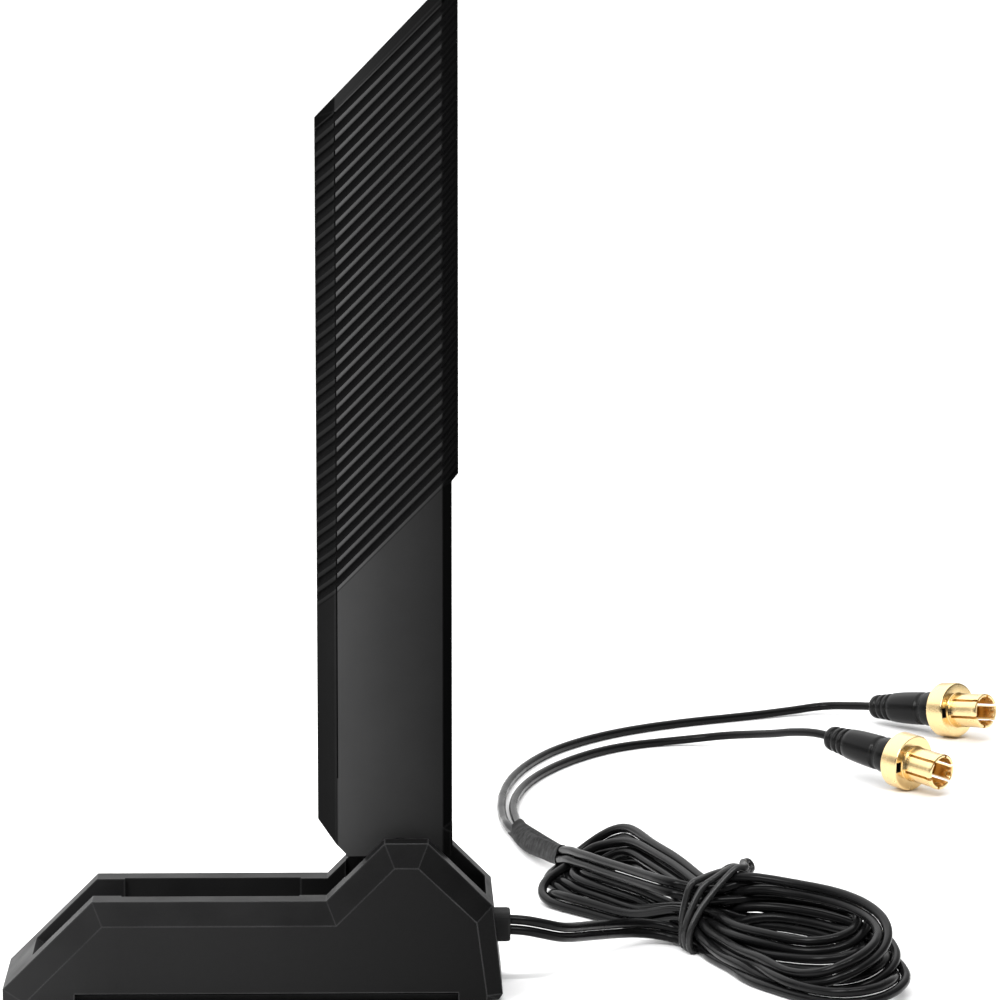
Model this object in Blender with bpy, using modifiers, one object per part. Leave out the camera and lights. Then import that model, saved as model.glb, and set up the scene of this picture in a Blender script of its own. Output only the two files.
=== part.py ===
"""Folding desktop Wi-Fi antenna: a blade aerial hinged in a weighted tray base, with a pair of coaxial leads.

Metres, +Z up. The origin is at the middle of the base's footprint, on the surface that it stands on.
+X runs along the base from its low tray end to its cable end, and the blade turns about a pin along Y.
"""

import math

import bmesh
import bpy
import numpy as np
from mathutils import Matrix, Vector

MM = 0.001
GAP = 0.3

# Base
BASE_HALF_LENGTH = 47.1
BASE_HALF_DEPTH = 13.0
RIM_HALF_DEPTH = 11.5
BASE_BOTTOM = 0.5
TRAY_RIM = 19.7
TOWER_RIM = 30.7
TRAY_LEFT = -30.1
TOWER_FOOT = 13.9
TOWER_RIGHT = 33.1
RIGHT_SHOULDER = (45.2, 18.7)
LEFT_LIP = 2.9
SIDE_CHAMFER_DROP = 4.5
SLOT_HALF_WIDTH = 6.7
WIDE_SLOT_HALF_WIDTH = 7.5
WIDE_SLOT_LEFT = -24.8
WIDE_SLOT_RIGHT = 8.8
TRAY_FLOOR = 6.9
FLOOR_THICKNESS = 1.5
SLOT_LEFT_END = -41.8
SLOT_RIGHT_END = 44.0
NOTCH_LEFT = -33.5
NOTCH_RIGHT = 38.7
NOTCH_TOP = 2.2
COVER_TOP = 3.1
COVER_THICKNESS = 1.4
CABLE_BAY_LEFT = 27.5
CABLE_BAY_RIGHT = 44.2
CABLE_BAY_HALF_WIDTH = 7.0
END_INSET = 3.0
END_BEVEL = 1.1
FOOT_BEVEL = 0.7
CAVITY_LEFT = -42.0
CAVITY_RIGHT = 44.0
CAVITY_HALF_WIDTH = 11.0
RAISED_FLOOR = 13.0
RAISED_FLOOR_LEFT = 25.5
STEP_FLOOR = 16.4
STEP_FLOOR_LEFT = 38.5
SCREW_X = (-37.6, 40.0)
SCREW_Y = (-8.6, 8.6)
SCREW_RADIUS = 0.8
SCREW_HEAD_RADIUS = 2.0
SCREW_LENGTH = 6.45
SCREW_SEAT = 0.5
BALLAST_LEFT = -34.0
BALLAST_RIGHT = 24.5
BALLAST_HALF_WIDTH = 10.4
MAGNET_X = (-19.0, 9.0)
MAGNET_RADIUS = 8.0
CUT_PAST = 10.0
HAIR = 0.01

# Hinge
PIVOT_X = 27.65
PIVOT_Z = 24.6
HUB_RADIUS = 5.5
PIN_RADIUS = 1.5
PIN_HEAD_RADIUS = 2.7
PIN_HEAD_FROM = 10.9
PIN_HEAD_TO = 12.2
PIN_END = -9.8
WASHER_RADIUS = 4.6
WASHER_THICKNESS = 0.9
TONGUE = (22.0, 32.9, 3.5, 44.0)
TONGUE_SCREWS = ((25.2, 35.0), (25.2, 41.0))
KNUCKLE_SCREW_HEAD = 1.9
KNUCKLE_SCREW_SEAT = 5.4
KNUCKLE_SCREW_TIP = 0.6
HUB_COAX_X = 30.95
HUB_COAX_SIDE = 2.3
HUB_COAX_HOLE = 1.15

# Blade
BLADE_HALF_THICKNESS = 6.0
BLADE_LEFT = 12.2
BLADE_RIGHT = 39.0
BLADE_NECK_RIGHT = 37.75
BLADE_BOTTOM = 26.9
BLADE_SHORT_SIDE_TOP = 166.2
BLADE_TIP = 193.9
NECK_STEP = 98.5
FACE_LEFT = 15.7
FACE_RIGHT = 35.9
HEEL_TOP = 33.0
HEEL_BOTTOM = 27.4
HEEL_X = 17.6
TOP_BEVEL = 1.35
NECK_STEP_HALF = 0.75
NECK_BEVEL_END = (31.7, 32.4)
NECK_EDGE = 0.3
POCKET = ((18.3, 28.4), (33.2, 28.4), (33.2, 179.0), (18.3, 164.0))
POCKET_HALF_DEPTH = 4.4
BOARD = (15.9, 35.1, 46.4, 161.6)
BOARD_HALF_THICKNESS = 0.4
RADIATOR_LEFT = 19.0
RADIATOR_RIGHT = 32.5
RADIATOR_LOW = (58.0, 112.0)
RADIATOR_HEIGHT = 38.0
RADIATOR_SLIT = 1.4
RADIATOR_FOOT = 6.0
RADIATOR_THICKNESS = 0.35
COAX_TOP = (57.0, 110.0)

# Cable
COAX_RADIUS = 0.95
COAX_SPREAD = 1.1
EXIT_X = 48.7
EXIT_Z = 12.2
HANK_LEFT = (70.0, 66.0)
HANK_LEFT_RADIUS = 15.0
HANK_RIGHT = (109.5, 2.5)
HANK_RIGHT_RADIUS = 17.0
HANK_WAIST = (87.4, 30.0)
HANK_WAIST_HALF = 7.8
HANK_HEIGHT = 12.5
SLEEVE_RADIUS = 1.9
TIE_WIRE = 0.75
TIE_SLACK = 1.0
TIE_CORNER = 3.0
TIE_GROOVE_HALF = 2.2
TIE_GROOVE_DEPTH = 1.9
GLAND_HALF_WIDTH = 3.4
GLAND_HALF_HEIGHT = 2.85
GLAND_FACE_BACK = 46.6
GLAND_NECK_HALF_WIDTH = 2.2
GLAND_NECK_HALF_HEIGHT = 2.1
GLAND_FLANGE = (42.4, 43.9)
CLAMP = ((34.5, -5.5), (38.5, 5.5, 5.6))

INNER_COAX_ROUTE = [
    (42.0, 1.1, 11.2), (40.0, 1.3, 10.6), (38.0, 1.8, 8.3), (35.5, 2.2, 7.1), (33.0, 2.3, 7.8),
    (31.3, 2.3, 10.4), (30.95, 2.3, 14.0), (30.95, 2.3, 18.2),
]

TAIL_ROUTE = [
    (49.0, 0.0, 12.2), (53.0, 0.3, 11.6), (58.2, 3.6, 9.7), (63.4, 13.0, 7.5), (68.6, 22.5, 5.5),
    (72.4, 29.0, 4.0), (74.7, 32.7, 3.3),
]
SLEEVE_ROUTE = [(60.6, 80.0, 6.3), (58.3, 91.0, 5.0), (54.8, 107.0, 2.9), (52.4, 125.0, 1.95)]
LEAD_1_ROUTE = [
    (51.0, 126.0, 1.7), (49.9, 138.0, 1.0), (49.7, 150.0, 1.0), (50.4, 163.0, 1.0), (52.4, 176.5, 1.0),
    (56.1, 190.5, 1.0), (61.6, 203.9, 1.0), (67.5, 213.4, 1.0), (75.4, 222.6, 1.0), (85.0, 230.4, 1.0),
    (96.0, 236.8, 1.0), (107.0, 242.0, 1.0), (117.5, 246.6, 1.2), (125.0, 249.0, 1.8),
]
LEAD_2_ROUTE = [
    (53.3, 126.0, 1.7), (52.5, 138.0, 1.0), (52.2, 147.5, 1.0), (52.8, 156.5, 1.0), (54.5, 167.0, 1.0),
    (57.5, 177.6, 1.0), (62.1, 188.4, 1.0), (67.4, 197.6, 1.0), (74.3, 206.2, 1.0), (81.8, 212.0, 1.0),
    (90.4, 215.2, 1.1), (99.0, 213.6, 2.4), (105.5, 208.6, 3.9), (110.6, 202.2, 5.4), (115.0, 195.6, 7.2),
]

# Connectors: where the middle of each grip ring lies, its heading over the table and its rise
CONNECTOR_1 = {"middle": (153.9, 223.2, 6.44), "heading": -45.0, "rise": 6.5}
CONNECTOR_2 = {"middle": (139.0, 168.7, 6.42), "heading": -47.0, "rise": -4.5}
GRIP_RADIUS = 6.2
GRIP_LENGTH = 4.6
BARREL_RADIUS = 3.95
BARREL_BORE = 3.2
BARREL_TIP = 12.9
BOOT_LENGTH = 20.5
CRIMP_RADIUS = 1.45
CRIMP_LENGTH = 9.0
FERRULE_RADII = (1.75, 2.2)
FERRULE_LENGTH = 8.8
FINGER_COUNT = 6
SLIT_WIDTH = 0.9
NOTCH_WIDTH = 2.2
INSULATOR_RADII = (1.2, 2.9)
INSULATOR_TOP = 8.0
CONTACT_RADII = (0.45, 0.9)
CONTACT_TOP = 9.4
SOCKET_FLOOR = 2.0

SIDES = 24

COLOURS = {
    "housing": ((0.022, 0.022, 0.023), 0.5, 0.0),
    "blade": ((0.025, 0.025, 0.026), 0.45, 0.0),
    "rubber": ((0.012, 0.012, 0.012), 0.75, 0.0),
    "steel": ((0.56, 0.57, 0.58), 0.3, 1.0),
    "magnet": ((0.6, 0.6, 0.6), 0.2, 1.0),
    "gold": ((0.95, 0.66, 0.28), 0.22, 1.0),
    "copper": ((0.85, 0.45, 0.25), 0.35, 1.0),
    "board": ((0.02, 0.16, 0.07), 0.5, 0.0),
    "ptfe": ((0.75, 0.36, 0.14), 0.45, 0.0),
    "jacket": ((0.012, 0.012, 0.012), 0.38, 0.0),
    "shrink": ((0.07, 0.07, 0.07), 0.55, 0.0),
    "wire_tie": ((0.012, 0.012, 0.012), 0.35, 0.0),
}


def clear_scene():
    for old in list(bpy.data.objects):
        bpy.data.objects.remove(old, do_unlink=True)


def new_collection(name):
    collection = bpy.data.collections.new(name)
    bpy.context.scene.collection.children.link(collection)
    return collection


def make_material(name):
    colour, roughness, metallic = COLOURS[name]
    material = bpy.data.materials.new(name)
    material.use_nodes = True
    shader = material.node_tree.nodes["Principled BSDF"]
    shader.inputs["Base Color"].default_value = (*colour, 1.0)
    shader.inputs["Roughness"].default_value = roughness
    shader.inputs["Metallic"].default_value = metallic
    return material


def add(name, mesh, look=None):
    """A new object of this mesh: a part where it has a look, and otherwise a cutter."""
    obj = bpy.data.objects.new(name, mesh)
    if look is None:
        CUTTERS.objects.link(obj)
        obj.hide_render = True
        obj.display_type = "WIRE"
    else:
        PARTS.objects.link(obj)
        mesh.materials.clear()
        mesh.materials.append(make_material(look))
        obj.data.materials[0].name = f"{name}_{look}"
    return obj


def cut(target, *cutters):
    for cutter in cutters:
        modifier = target.modifiers.new(f"cut_{cutter.name}", "BOOLEAN")
        modifier.object = cutter
        modifier.operation = "DIFFERENCE"
    return target


def join(target, other):
    modifier = target.modifiers.new(f"join_{other.name}", "BOOLEAN")
    modifier.object = other
    modifier.operation = "UNION"
    return target


def box(name, low, high, look=None):
    """A box between two corners, in millimetres."""
    low, high = Vector(low) * MM, Vector(high) * MM
    mesh = bpy.data.meshes.new(name)
    shape = bmesh.new()
    bmesh.ops.create_cube(shape, size=1.0)
    bmesh.ops.scale(shape, vec=high - low, verts=shape.verts)
    bmesh.ops.translate(shape, vec=(low + high) / 2, verts=shape.verts)
    shape.to_mesh(mesh)
    shape.free()
    return add(name, mesh, look)


def rod(name, start, end, radius, look=None, sides=SIDES):
    """A round bar between two points, in millimetres."""
    start, end = Vector(start) * MM, Vector(end) * MM
    along = end - start
    turn = Vector((0, 0, 1)).rotation_difference(along.normalized()).to_matrix().to_4x4()
    place = Matrix.Translation((start + end) / 2) @ turn
    mesh = bpy.data.meshes.new(name)
    shape = bmesh.new()
    bmesh.ops.create_cone(
        shape, cap_ends=True, segments=sides, radius1=radius * MM, radius2=radius * MM,
        depth=along.length, matrix=place,
    )
    shape.to_mesh(mesh)
    shape.free()
    shade_round(mesh)
    return add(name, mesh, look)


def shade_round(mesh):
    mesh.shade_smooth()
    mesh.set_sharp_from_angle(angle=math.radians(35))


def welded_mesh(curve_object, name):
    """The mesh of a curve object, with its loose caps welded on. The curve is removed."""
    bpy.context.view_layer.update()
    graph = bpy.context.evaluated_depsgraph_get()
    mesh = bpy.data.meshes.new_from_object(curve_object.evaluated_get(graph))
    mesh.name = name
    shape = bmesh.new()
    shape.from_mesh(mesh)
    bmesh.ops.remove_doubles(shape, verts=shape.verts, dist=1e-6)
    bmesh.ops.transform(shape, matrix=curve_object.matrix_world, verts=shape.verts)
    bmesh.ops.recalc_face_normals(shape, faces=shape.faces)
    shape.to_mesh(mesh)
    shape.free()
    bpy.data.objects.remove(curve_object, do_unlink=True)
    return mesh


def flat_curve(name, outline, half_thickness):
    data = bpy.data.curves.new(name, "CURVE")
    data.dimensions = "2D"
    data.fill_mode = "BOTH"
    data.extrude = half_thickness * MM
    spline = data.splines.new("POLY")
    spline.points.add(len(outline) - 1)
    for point, (across, up) in zip(spline.points, outline):
        point.co = (across * MM, up * MM, 0, 1)
    spline.use_cyclic_u = True
    curve_object = bpy.data.objects.new(name, data)
    CUTTERS.objects.link(curve_object)
    return curve_object


def side_plate(name, outline, near, far, look=None):
    """A flat outline in the XZ plane, which runs along Y from near to far."""
    curve_object = flat_curve(name, outline, (far - near) / 2)
    curve_object.rotation_euler = (math.pi / 2, 0, 0)
    curve_object.location = (0, (near + far) / 2 * MM, 0)
    return add(name, welded_mesh(curve_object, name), look)


def floor_plate(name, outline, bottom, top, look=None):
    """A flat outline in the XY plane, which runs up from bottom to top."""
    curve_object = flat_curve(name, outline, (top - bottom) / 2)
    curve_object.location = (0, 0, (bottom + top) / 2 * MM)
    return add(name, welded_mesh(curve_object, name), look)


def loft(name, sections, look):
    """A solid through sections of equally many (x, z) points, each at its own y."""
    mesh = bpy.data.meshes.new(name)
    shape = bmesh.new()
    rings = []
    for y, outline in sections:
        rings.append([shape.verts.new((x * MM, y * MM, z * MM)) for x, z in outline])
    for near, far in zip(rings, rings[1:]):
        for index in range(len(near)):
            after = (index + 1) % len(near)
            shape.faces.new((near[index], near[after], far[after], far[index]))
    shape.faces.new(rings[0])
    shape.faces.new(rings[-1])
    bmesh.ops.recalc_face_normals(shape, faces=shape.faces)
    shape.to_mesh(mesh)
    shape.free()
    return add(name, mesh, look)


def turned(name, profile, look, sides=SIDES, closed=False):
    """A turned piece about Z from (radius, height) pairs, which run from the top down the outer side."""
    mesh = bpy.data.meshes.new(name)
    points = [(radius * MM, 0, height * MM) for radius, height in profile]
    edges = [(index, index + 1) for index in range(len(points) - 1)]
    if closed:
        edges.append((len(points) - 1, 0))
    mesh.from_pydata(points, edges, [])
    obj = add(name, mesh, look)
    screw = obj.modifiers.new("turn", "SCREW")
    screw.axis = "Z"
    screw.steps = sides
    screw.render_steps = sides
    screw.use_merge_vertices = True
    screw.merge_threshold = 0.00001
    screw.use_smooth_shade = True
    return obj


def smooth_route(points, spacing):
    """Points at about this spacing along a smooth curve through the route's own points."""
    route = np.array(points, float)
    lengths = np.linalg.norm(np.diff(route, axis=0), axis=1) ** 0.5
    knots = np.concatenate([[0], np.cumsum(lengths)])
    slopes = np.gradient(route, knots, axis=0, edge_order=2)
    dense = []
    for index in range(len(route) - 1):
        step = knots[index + 1] - knots[index]
        for t in np.arange(0, 1, 0.02):
            dense.append(
                (2 * t**3 - 3 * t**2 + 1) * route[index]
                + (t**3 - 2 * t**2 + t) * step * slopes[index]
                + (3 * t**2 - 2 * t**3) * route[index + 1]
                + (t**3 - t**2) * step * slopes[index + 1]
            )
    dense = np.array(dense + [route[-1]])
    along = np.concatenate([[0], np.cumsum(np.linalg.norm(np.diff(dense, axis=0), axis=1))])
    places = np.linspace(0, along[-1], max(2, round(along[-1] / spacing)) + 1)
    return np.stack([np.interp(places, along, dense[:, axis]) for axis in range(3)], axis=1)


def cord(name, points, radius, look, spacing=4.6, cyclic=False):
    """A plain round tube along a route in millimetres."""
    data = bpy.data.curves.new(name, "CURVE")
    data.dimensions = "3D"
    data.bevel_depth = radius * MM
    data.bevel_resolution = 2
    data.use_fill_caps = True
    route = points if cyclic else smooth_route(points, spacing)
    spline = data.splines.new("POLY")
    spline.points.add(len(route) - 1)
    for point, place in zip(spline.points, route):
        point.co = (*(float(value) * MM for value in place), 1)
    spline.use_cyclic_u = cyclic
    obj = bpy.data.objects.new(name, data)
    PARTS.objects.link(obj)
    material = make_material(look)
    material.name = f"{name}_{look}"
    data.materials.append(material)
    return obj


def arc(centre, radius, start, end, steps):
    """Points of a round stretch between two angles in degrees."""
    angles = np.radians(np.linspace(start, end, steps))
    return [(centre[0] + radius * math.cos(a), centre[1] + radius * math.sin(a)) for a in angles]


def base_outlines():
    """The base's side view: at its rim faces, and at its outer faces below the long chamfer."""
    tower_left = TOWER_FOOT + TOWER_RIM - TRAY_RIM
    mitre = SIDE_CHAMFER_DROP * math.tan(math.radians(22.5))
    face_rim = TRAY_RIM - SIDE_CHAMFER_DROP
    face_tower = TOWER_RIM - SIDE_CHAMFER_DROP
    bottom_left = TRAY_LEFT + mitre - (face_rim - BASE_BOTTOM)
    shoulder_x, shoulder_z = RIGHT_SHOULDER
    rim = [
        (-BASE_HALF_LENGTH, BASE_BOTTOM),
        (-BASE_HALF_LENGTH, LEFT_LIP),
        (TRAY_LEFT, TRAY_RIM),
        (TOWER_FOOT, TRAY_RIM),
        (tower_left, TOWER_RIM),
        (TOWER_RIGHT, TOWER_RIM),
        RIGHT_SHOULDER,
        (BASE_HALF_LENGTH, BASE_BOTTOM + END_BEVEL),
        (BASE_HALF_LENGTH - FOOT_BEVEL, BASE_BOTTOM),
    ]
    face = [
        (bottom_left, BASE_BOTTOM),
        (bottom_left + GAP, BASE_BOTTOM + GAP),
        (TRAY_LEFT + mitre, face_rim),
        (TOWER_FOOT + mitre, face_rim),
        (tower_left + mitre, face_tower),
        (TOWER_RIGHT - mitre, face_tower),
        (shoulder_x - END_INSET, shoulder_z - END_INSET),
        (BASE_HALF_LENGTH - END_INSET, BASE_BOTTOM + END_BEVEL),
        (BASE_HALF_LENGTH - END_INSET - HAIR * 10, BASE_BOTTOM),
    ]
    return rim, face


def make_housing():
    rim, face = base_outlines()
    housing = loft(
        "base_housing",
        [(-BASE_HALF_DEPTH, face), (-RIM_HALF_DEPTH, rim), (RIM_HALF_DEPTH, rim), (BASE_HALF_DEPTH, face)],
        "housing",
    )
    above = TOWER_RIM + CUT_PAST
    lip_slope_z = LEFT_LIP + BASE_HALF_LENGTH + SLOT_LEFT_END
    slot = [
        (SLOT_LEFT_END - 6.0, above),
        (SLOT_LEFT_END - 0.2, lip_slope_z + 0.2),
        (SLOT_LEFT_END + 1.8, TRAY_FLOOR),
        (RAISED_FLOOR_LEFT, TRAY_FLOOR),
        (RAISED_FLOOR_LEFT, RAISED_FLOOR),
        (STEP_FLOOR_LEFT, RAISED_FLOOR),
        (STEP_FLOOR_LEFT, STEP_FLOOR),
        (SLOT_RIGHT_END, STEP_FLOOR),
        (SLOT_RIGHT_END, above),
    ]
    middle = [
        (WIDE_SLOT_LEFT, TRAY_FLOOR + HAIR),
        (WIDE_SLOT_RIGHT, TRAY_FLOOR + HAIR),
        (WIDE_SLOT_RIGHT, above),
        (WIDE_SLOT_LEFT, above),
    ]
    tower_slot_left = TOWER_FOOT + 3.5
    tower = [
        (tower_slot_left, TRAY_FLOOR + HAIR),
        (RAISED_FLOOR_LEFT - HAIR, TRAY_FLOOR + HAIR),
        (RAISED_FLOOR_LEFT - HAIR, RAISED_FLOOR + HAIR),
        (STEP_FLOOR_LEFT - HAIR, RAISED_FLOOR + HAIR),
        (STEP_FLOOR_LEFT - HAIR, STEP_FLOOR + HAIR),
        (SLOT_RIGHT_END - HAIR, STEP_FLOOR + HAIR),
        (SLOT_RIGHT_END - HAIR, above + 1.0),
        (tower_slot_left, above + 1.0),
    ]
    below = -CUT_PAST
    cavity_top = TRAY_FLOOR - FLOOR_THICKNESS
    bay_roof = RAISED_FLOOR - FLOOR_THICKNESS
    wide = WIDE_SLOT_HALF_WIDTH + HAIR
    side = RIM_HALF_DEPTH - 1.0
    cuts = [
        side_plate("slot_cutter", slot, -SLOT_HALF_WIDTH, SLOT_HALF_WIDTH),
        side_plate("wide_slot_cutter", middle, -WIDE_SLOT_HALF_WIDTH, WIDE_SLOT_HALF_WIDTH),
        side_plate("tower_slot_cutter", tower, -wide, wide),
        box(
            "underside_cutter",
            (CAVITY_LEFT, -CAVITY_HALF_WIDTH, below), (CAVITY_RIGHT, CAVITY_HALF_WIDTH, cavity_top),
        ),
        box(
            "bay_cutter",
            (CABLE_BAY_LEFT, -CABLE_BAY_HALF_WIDTH, below - 1.0),
            (CABLE_BAY_RIGHT, CABLE_BAY_HALF_WIDTH, bay_roof),
        ),
        box(
            "gland_bay_cutter",
            (GLAND_FLANGE[0] - 2.3, -GLAND_HALF_WIDTH - 0.6, below - 2.0),
            (CABLE_BAY_RIGHT - HAIR, GLAND_HALF_WIDTH + 0.6, EXIT_Z + GLAND_HALF_HEIGHT),
        ),
        box(
            "gland_hole_cutter",
            (CABLE_BAY_RIGHT - 1.0, -GLAND_NECK_HALF_WIDTH - GAP, EXIT_Z - GLAND_NECK_HALF_HEIGHT - GAP),
            (EXIT_X + 1.0, GLAND_NECK_HALF_WIDTH + GAP, EXIT_Z + GLAND_NECK_HALF_HEIGHT + GAP),
        ),
        box("front_notch_cutter", (NOTCH_LEFT, -2 * BASE_HALF_DEPTH, below), (NOTCH_RIGHT, -side, NOTCH_TOP)),
        box("rear_notch_cutter", (NOTCH_LEFT, side, below), (NOTCH_RIGHT, 2 * BASE_HALF_DEPTH, NOTCH_TOP)),
        box(
            "coax_port_cutter",
            (HUB_COAX_X - 1.7, -HUB_COAX_SIDE - 1.5, bay_roof - 1.0),
            (HUB_COAX_X + 1.7, HUB_COAX_SIDE + 1.5, RAISED_FLOOR + 1.0),
        ),
        rod(
            "pin_bore_cutter", (PIVOT_X, PIN_END - 0.4, PIVOT_Z), (PIVOT_X, 20.0, PIVOT_Z),
            PIN_RADIUS + GAP, sides=20,
        ),
        rod(
            "pin_head_cutter", (PIVOT_X, PIN_HEAD_FROM - GAP, PIVOT_Z), (PIVOT_X, 21.0, PIVOT_Z),
            PIN_HEAD_RADIUS + GAP, sides=20,
        ),
    ]
    for index, (x, y) in enumerate(screw_places(), start=1):
        hole_top = COVER_TOP - SCREW_SEAT + SCREW_LENGTH
        cuts.append(
            rod(
                f"screw_hole_cutter_{index}", (x, y, COVER_TOP), (x, y, hole_top),
                SCREW_RADIUS + GAP, sides=12,
            )
        )
    cut(housing, *cuts)


def screw_places():
    return [(x, y) for x in SCREW_X for y in SCREW_Y]


def make_cover():
    cover_bottom = COVER_TOP - COVER_THICKNESS
    seat = COVER_TOP - SCREW_SEAT
    cover = box(
        "bottom_cover",
        (CAVITY_LEFT + GAP, -CAVITY_HALF_WIDTH + GAP, cover_bottom),
        (CAVITY_RIGHT - GAP, CAVITY_HALF_WIDTH - GAP, COVER_TOP),
        "housing",
    )
    head_low = cover_bottom + 0.05
    tip = head_low + SCREW_LENGTH
    for index, (x, y) in enumerate(screw_places(), start=1):
        cut(
            cover,
            rod(
                f"cover_hole_cutter_{index}", (x, y, 0.0), (x, y, CUT_PAST),
                SCREW_RADIUS + 2 * GAP, sides=12,
            ),
            rod(f"cover_sink_cutter_{index}", (x, y, -1.0), (x, y, seat), SCREW_HEAD_RADIUS + GAP, sides=12),
        )
        screw = turned(
            f"cover_screw_{index}",
            [
                (0, tip),
                (SCREW_RADIUS, tip - SCREW_RADIUS),
                (SCREW_RADIUS, seat - GAP),
                (SCREW_HEAD_RADIUS, seat - GAP),
                (SCREW_HEAD_RADIUS, head_low),
                (0, head_low),
            ],
            "steel", sides=12,
        )
        screw.location = (x * MM, y * MM, 0)
    box(
        "base_pad",
        (CAVITY_LEFT + 0.8, -CAVITY_HALF_WIDTH + 0.4, 0.0),
        (CAVITY_RIGHT - 0.8, CAVITY_HALF_WIDTH - 0.4, cover_bottom - GAP),
        "rubber",
    )


def make_ballast():
    low, high = COVER_TOP + GAP, TRAY_FLOOR - FLOOR_THICKNESS - GAP
    plate = box(
        "steel_ballast",
        (BALLAST_LEFT, -BALLAST_HALF_WIDTH, low), (BALLAST_RIGHT, BALLAST_HALF_WIDTH, high),
        "steel",
    )
    for index, x in enumerate(MAGNET_X, start=1):
        cut(plate, rod(f"magnet_cutter_{index}", (x, 0, -1.0), (x, 0, CUT_PAST), MAGNET_RADIUS + GAP))
        rod(f"magnet_{index}", (x, 0, low), (x, 0, high), MAGNET_RADIUS, "magnet")


def make_hinge():
    pin = turned(
        "hinge_pin",
        [
            (0, PIN_HEAD_TO),
            (PIN_HEAD_RADIUS, PIN_HEAD_TO),
            (PIN_HEAD_RADIUS, PIN_HEAD_FROM),
            (PIN_RADIUS, PIN_HEAD_FROM),
            (PIN_RADIUS, PIN_END),
            (0, PIN_END),
        ],
        "steel", sides=20,
    )
    pin.rotation_euler = (-math.pi / 2, 0, 0)
    pin.location = (PIVOT_X * MM, 0, PIVOT_Z * MM)
    half = WASHER_THICKNESS / 2
    middle = BLADE_HALF_THICKNESS + GAP + half
    for index, side in enumerate((-1, 1), start=1):
        washer = turned(
            f"friction_washer_{index}",
            [
                (WASHER_RADIUS, half), (WASHER_RADIUS, -half),
                (PIN_RADIUS + GAP, -half), (PIN_RADIUS + GAP, half),
            ],
            "steel", sides=20, closed=True,
        )
        washer.rotation_euler = (-math.pi / 2, 0, 0)
        washer.location = (PIVOT_X * MM, side * middle * MM, PIVOT_Z * MM)


def make_gland():
    gland = box(
        "cable_gland",
        (GLAND_FACE_BACK, -GLAND_HALF_WIDTH, EXIT_Z - GLAND_HALF_HEIGHT),
        (EXIT_X, GLAND_HALF_WIDTH, EXIT_Z + GLAND_HALF_HEIGHT),
        "rubber",
    )
    neck = box(
        "gland_neck",
        (GLAND_FLANGE[0] + 0.5, -GLAND_NECK_HALF_WIDTH, EXIT_Z - GLAND_NECK_HALF_HEIGHT),
        (GLAND_FACE_BACK + 0.4, GLAND_NECK_HALF_WIDTH, EXIT_Z + GLAND_NECK_HALF_HEIGHT),
    )
    flange = box(
        "gland_flange",
        (GLAND_FLANGE[0], -GLAND_HALF_WIDTH + 0.1, EXIT_Z - GLAND_HALF_HEIGHT + 0.1),
        (GLAND_FLANGE[1], GLAND_HALF_WIDTH - 0.1, EXIT_Z + GLAND_HALF_HEIGHT - 0.4),
    )
    join(gland, neck)
    join(gland, flange)
    box("coax_clamp", (*CLAMP[0], COVER_TOP + GAP), CLAMP[1], "housing")
    for index, side in enumerate((-1, 1), start=1):
        route = [(x, side * y, z) for x, y, z in INNER_COAX_ROUTE]
        cord(f"inner_coax_{index}", route, COAX_RADIUS, "jacket", spacing=2.0)


def blade_outlines():
    """The blade's side view: at its middle plane, and at its flat faces inside the bevels."""
    slope = (BLADE_TIP - BLADE_SHORT_SIDE_TOP) / (BLADE_RIGHT - BLADE_LEFT)
    drop = TOP_BEVEL * math.sqrt(1 + slope * slope)
    face_top = [BLADE_SHORT_SIDE_TOP + (x - BLADE_LEFT) * slope - drop for x in (FACE_LEFT, FACE_RIGHT)]
    step_low, step_high = NECK_STEP - NECK_STEP_HALF, NECK_STEP + NECK_STEP_HALF
    bevel_low, bevel_high = NECK_BEVEL_END
    middle = [
        (BLADE_LEFT, BLADE_BOTTOM),
        (BLADE_LEFT, BLADE_SHORT_SIDE_TOP),
        (BLADE_RIGHT, BLADE_TIP),
        (BLADE_RIGHT, step_high),
        (BLADE_NECK_RIGHT, step_low),
        (BLADE_NECK_RIGHT, bevel_high),
        (BLADE_NECK_RIGHT, bevel_low),
        (BLADE_NECK_RIGHT, BLADE_BOTTOM),
    ]
    face = [
        (FACE_LEFT, BLADE_BOTTOM),
        (FACE_LEFT, face_top[0]),
        (FACE_RIGHT, face_top[1]),
        (FACE_RIGHT, step_high),
        (FACE_RIGHT, step_low),
        (FACE_RIGHT, bevel_high),
        (BLADE_NECK_RIGHT - NECK_EDGE, bevel_low),
        (BLADE_NECK_RIGHT - NECK_EDGE, BLADE_BOTTOM),
    ]
    return middle, face


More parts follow.
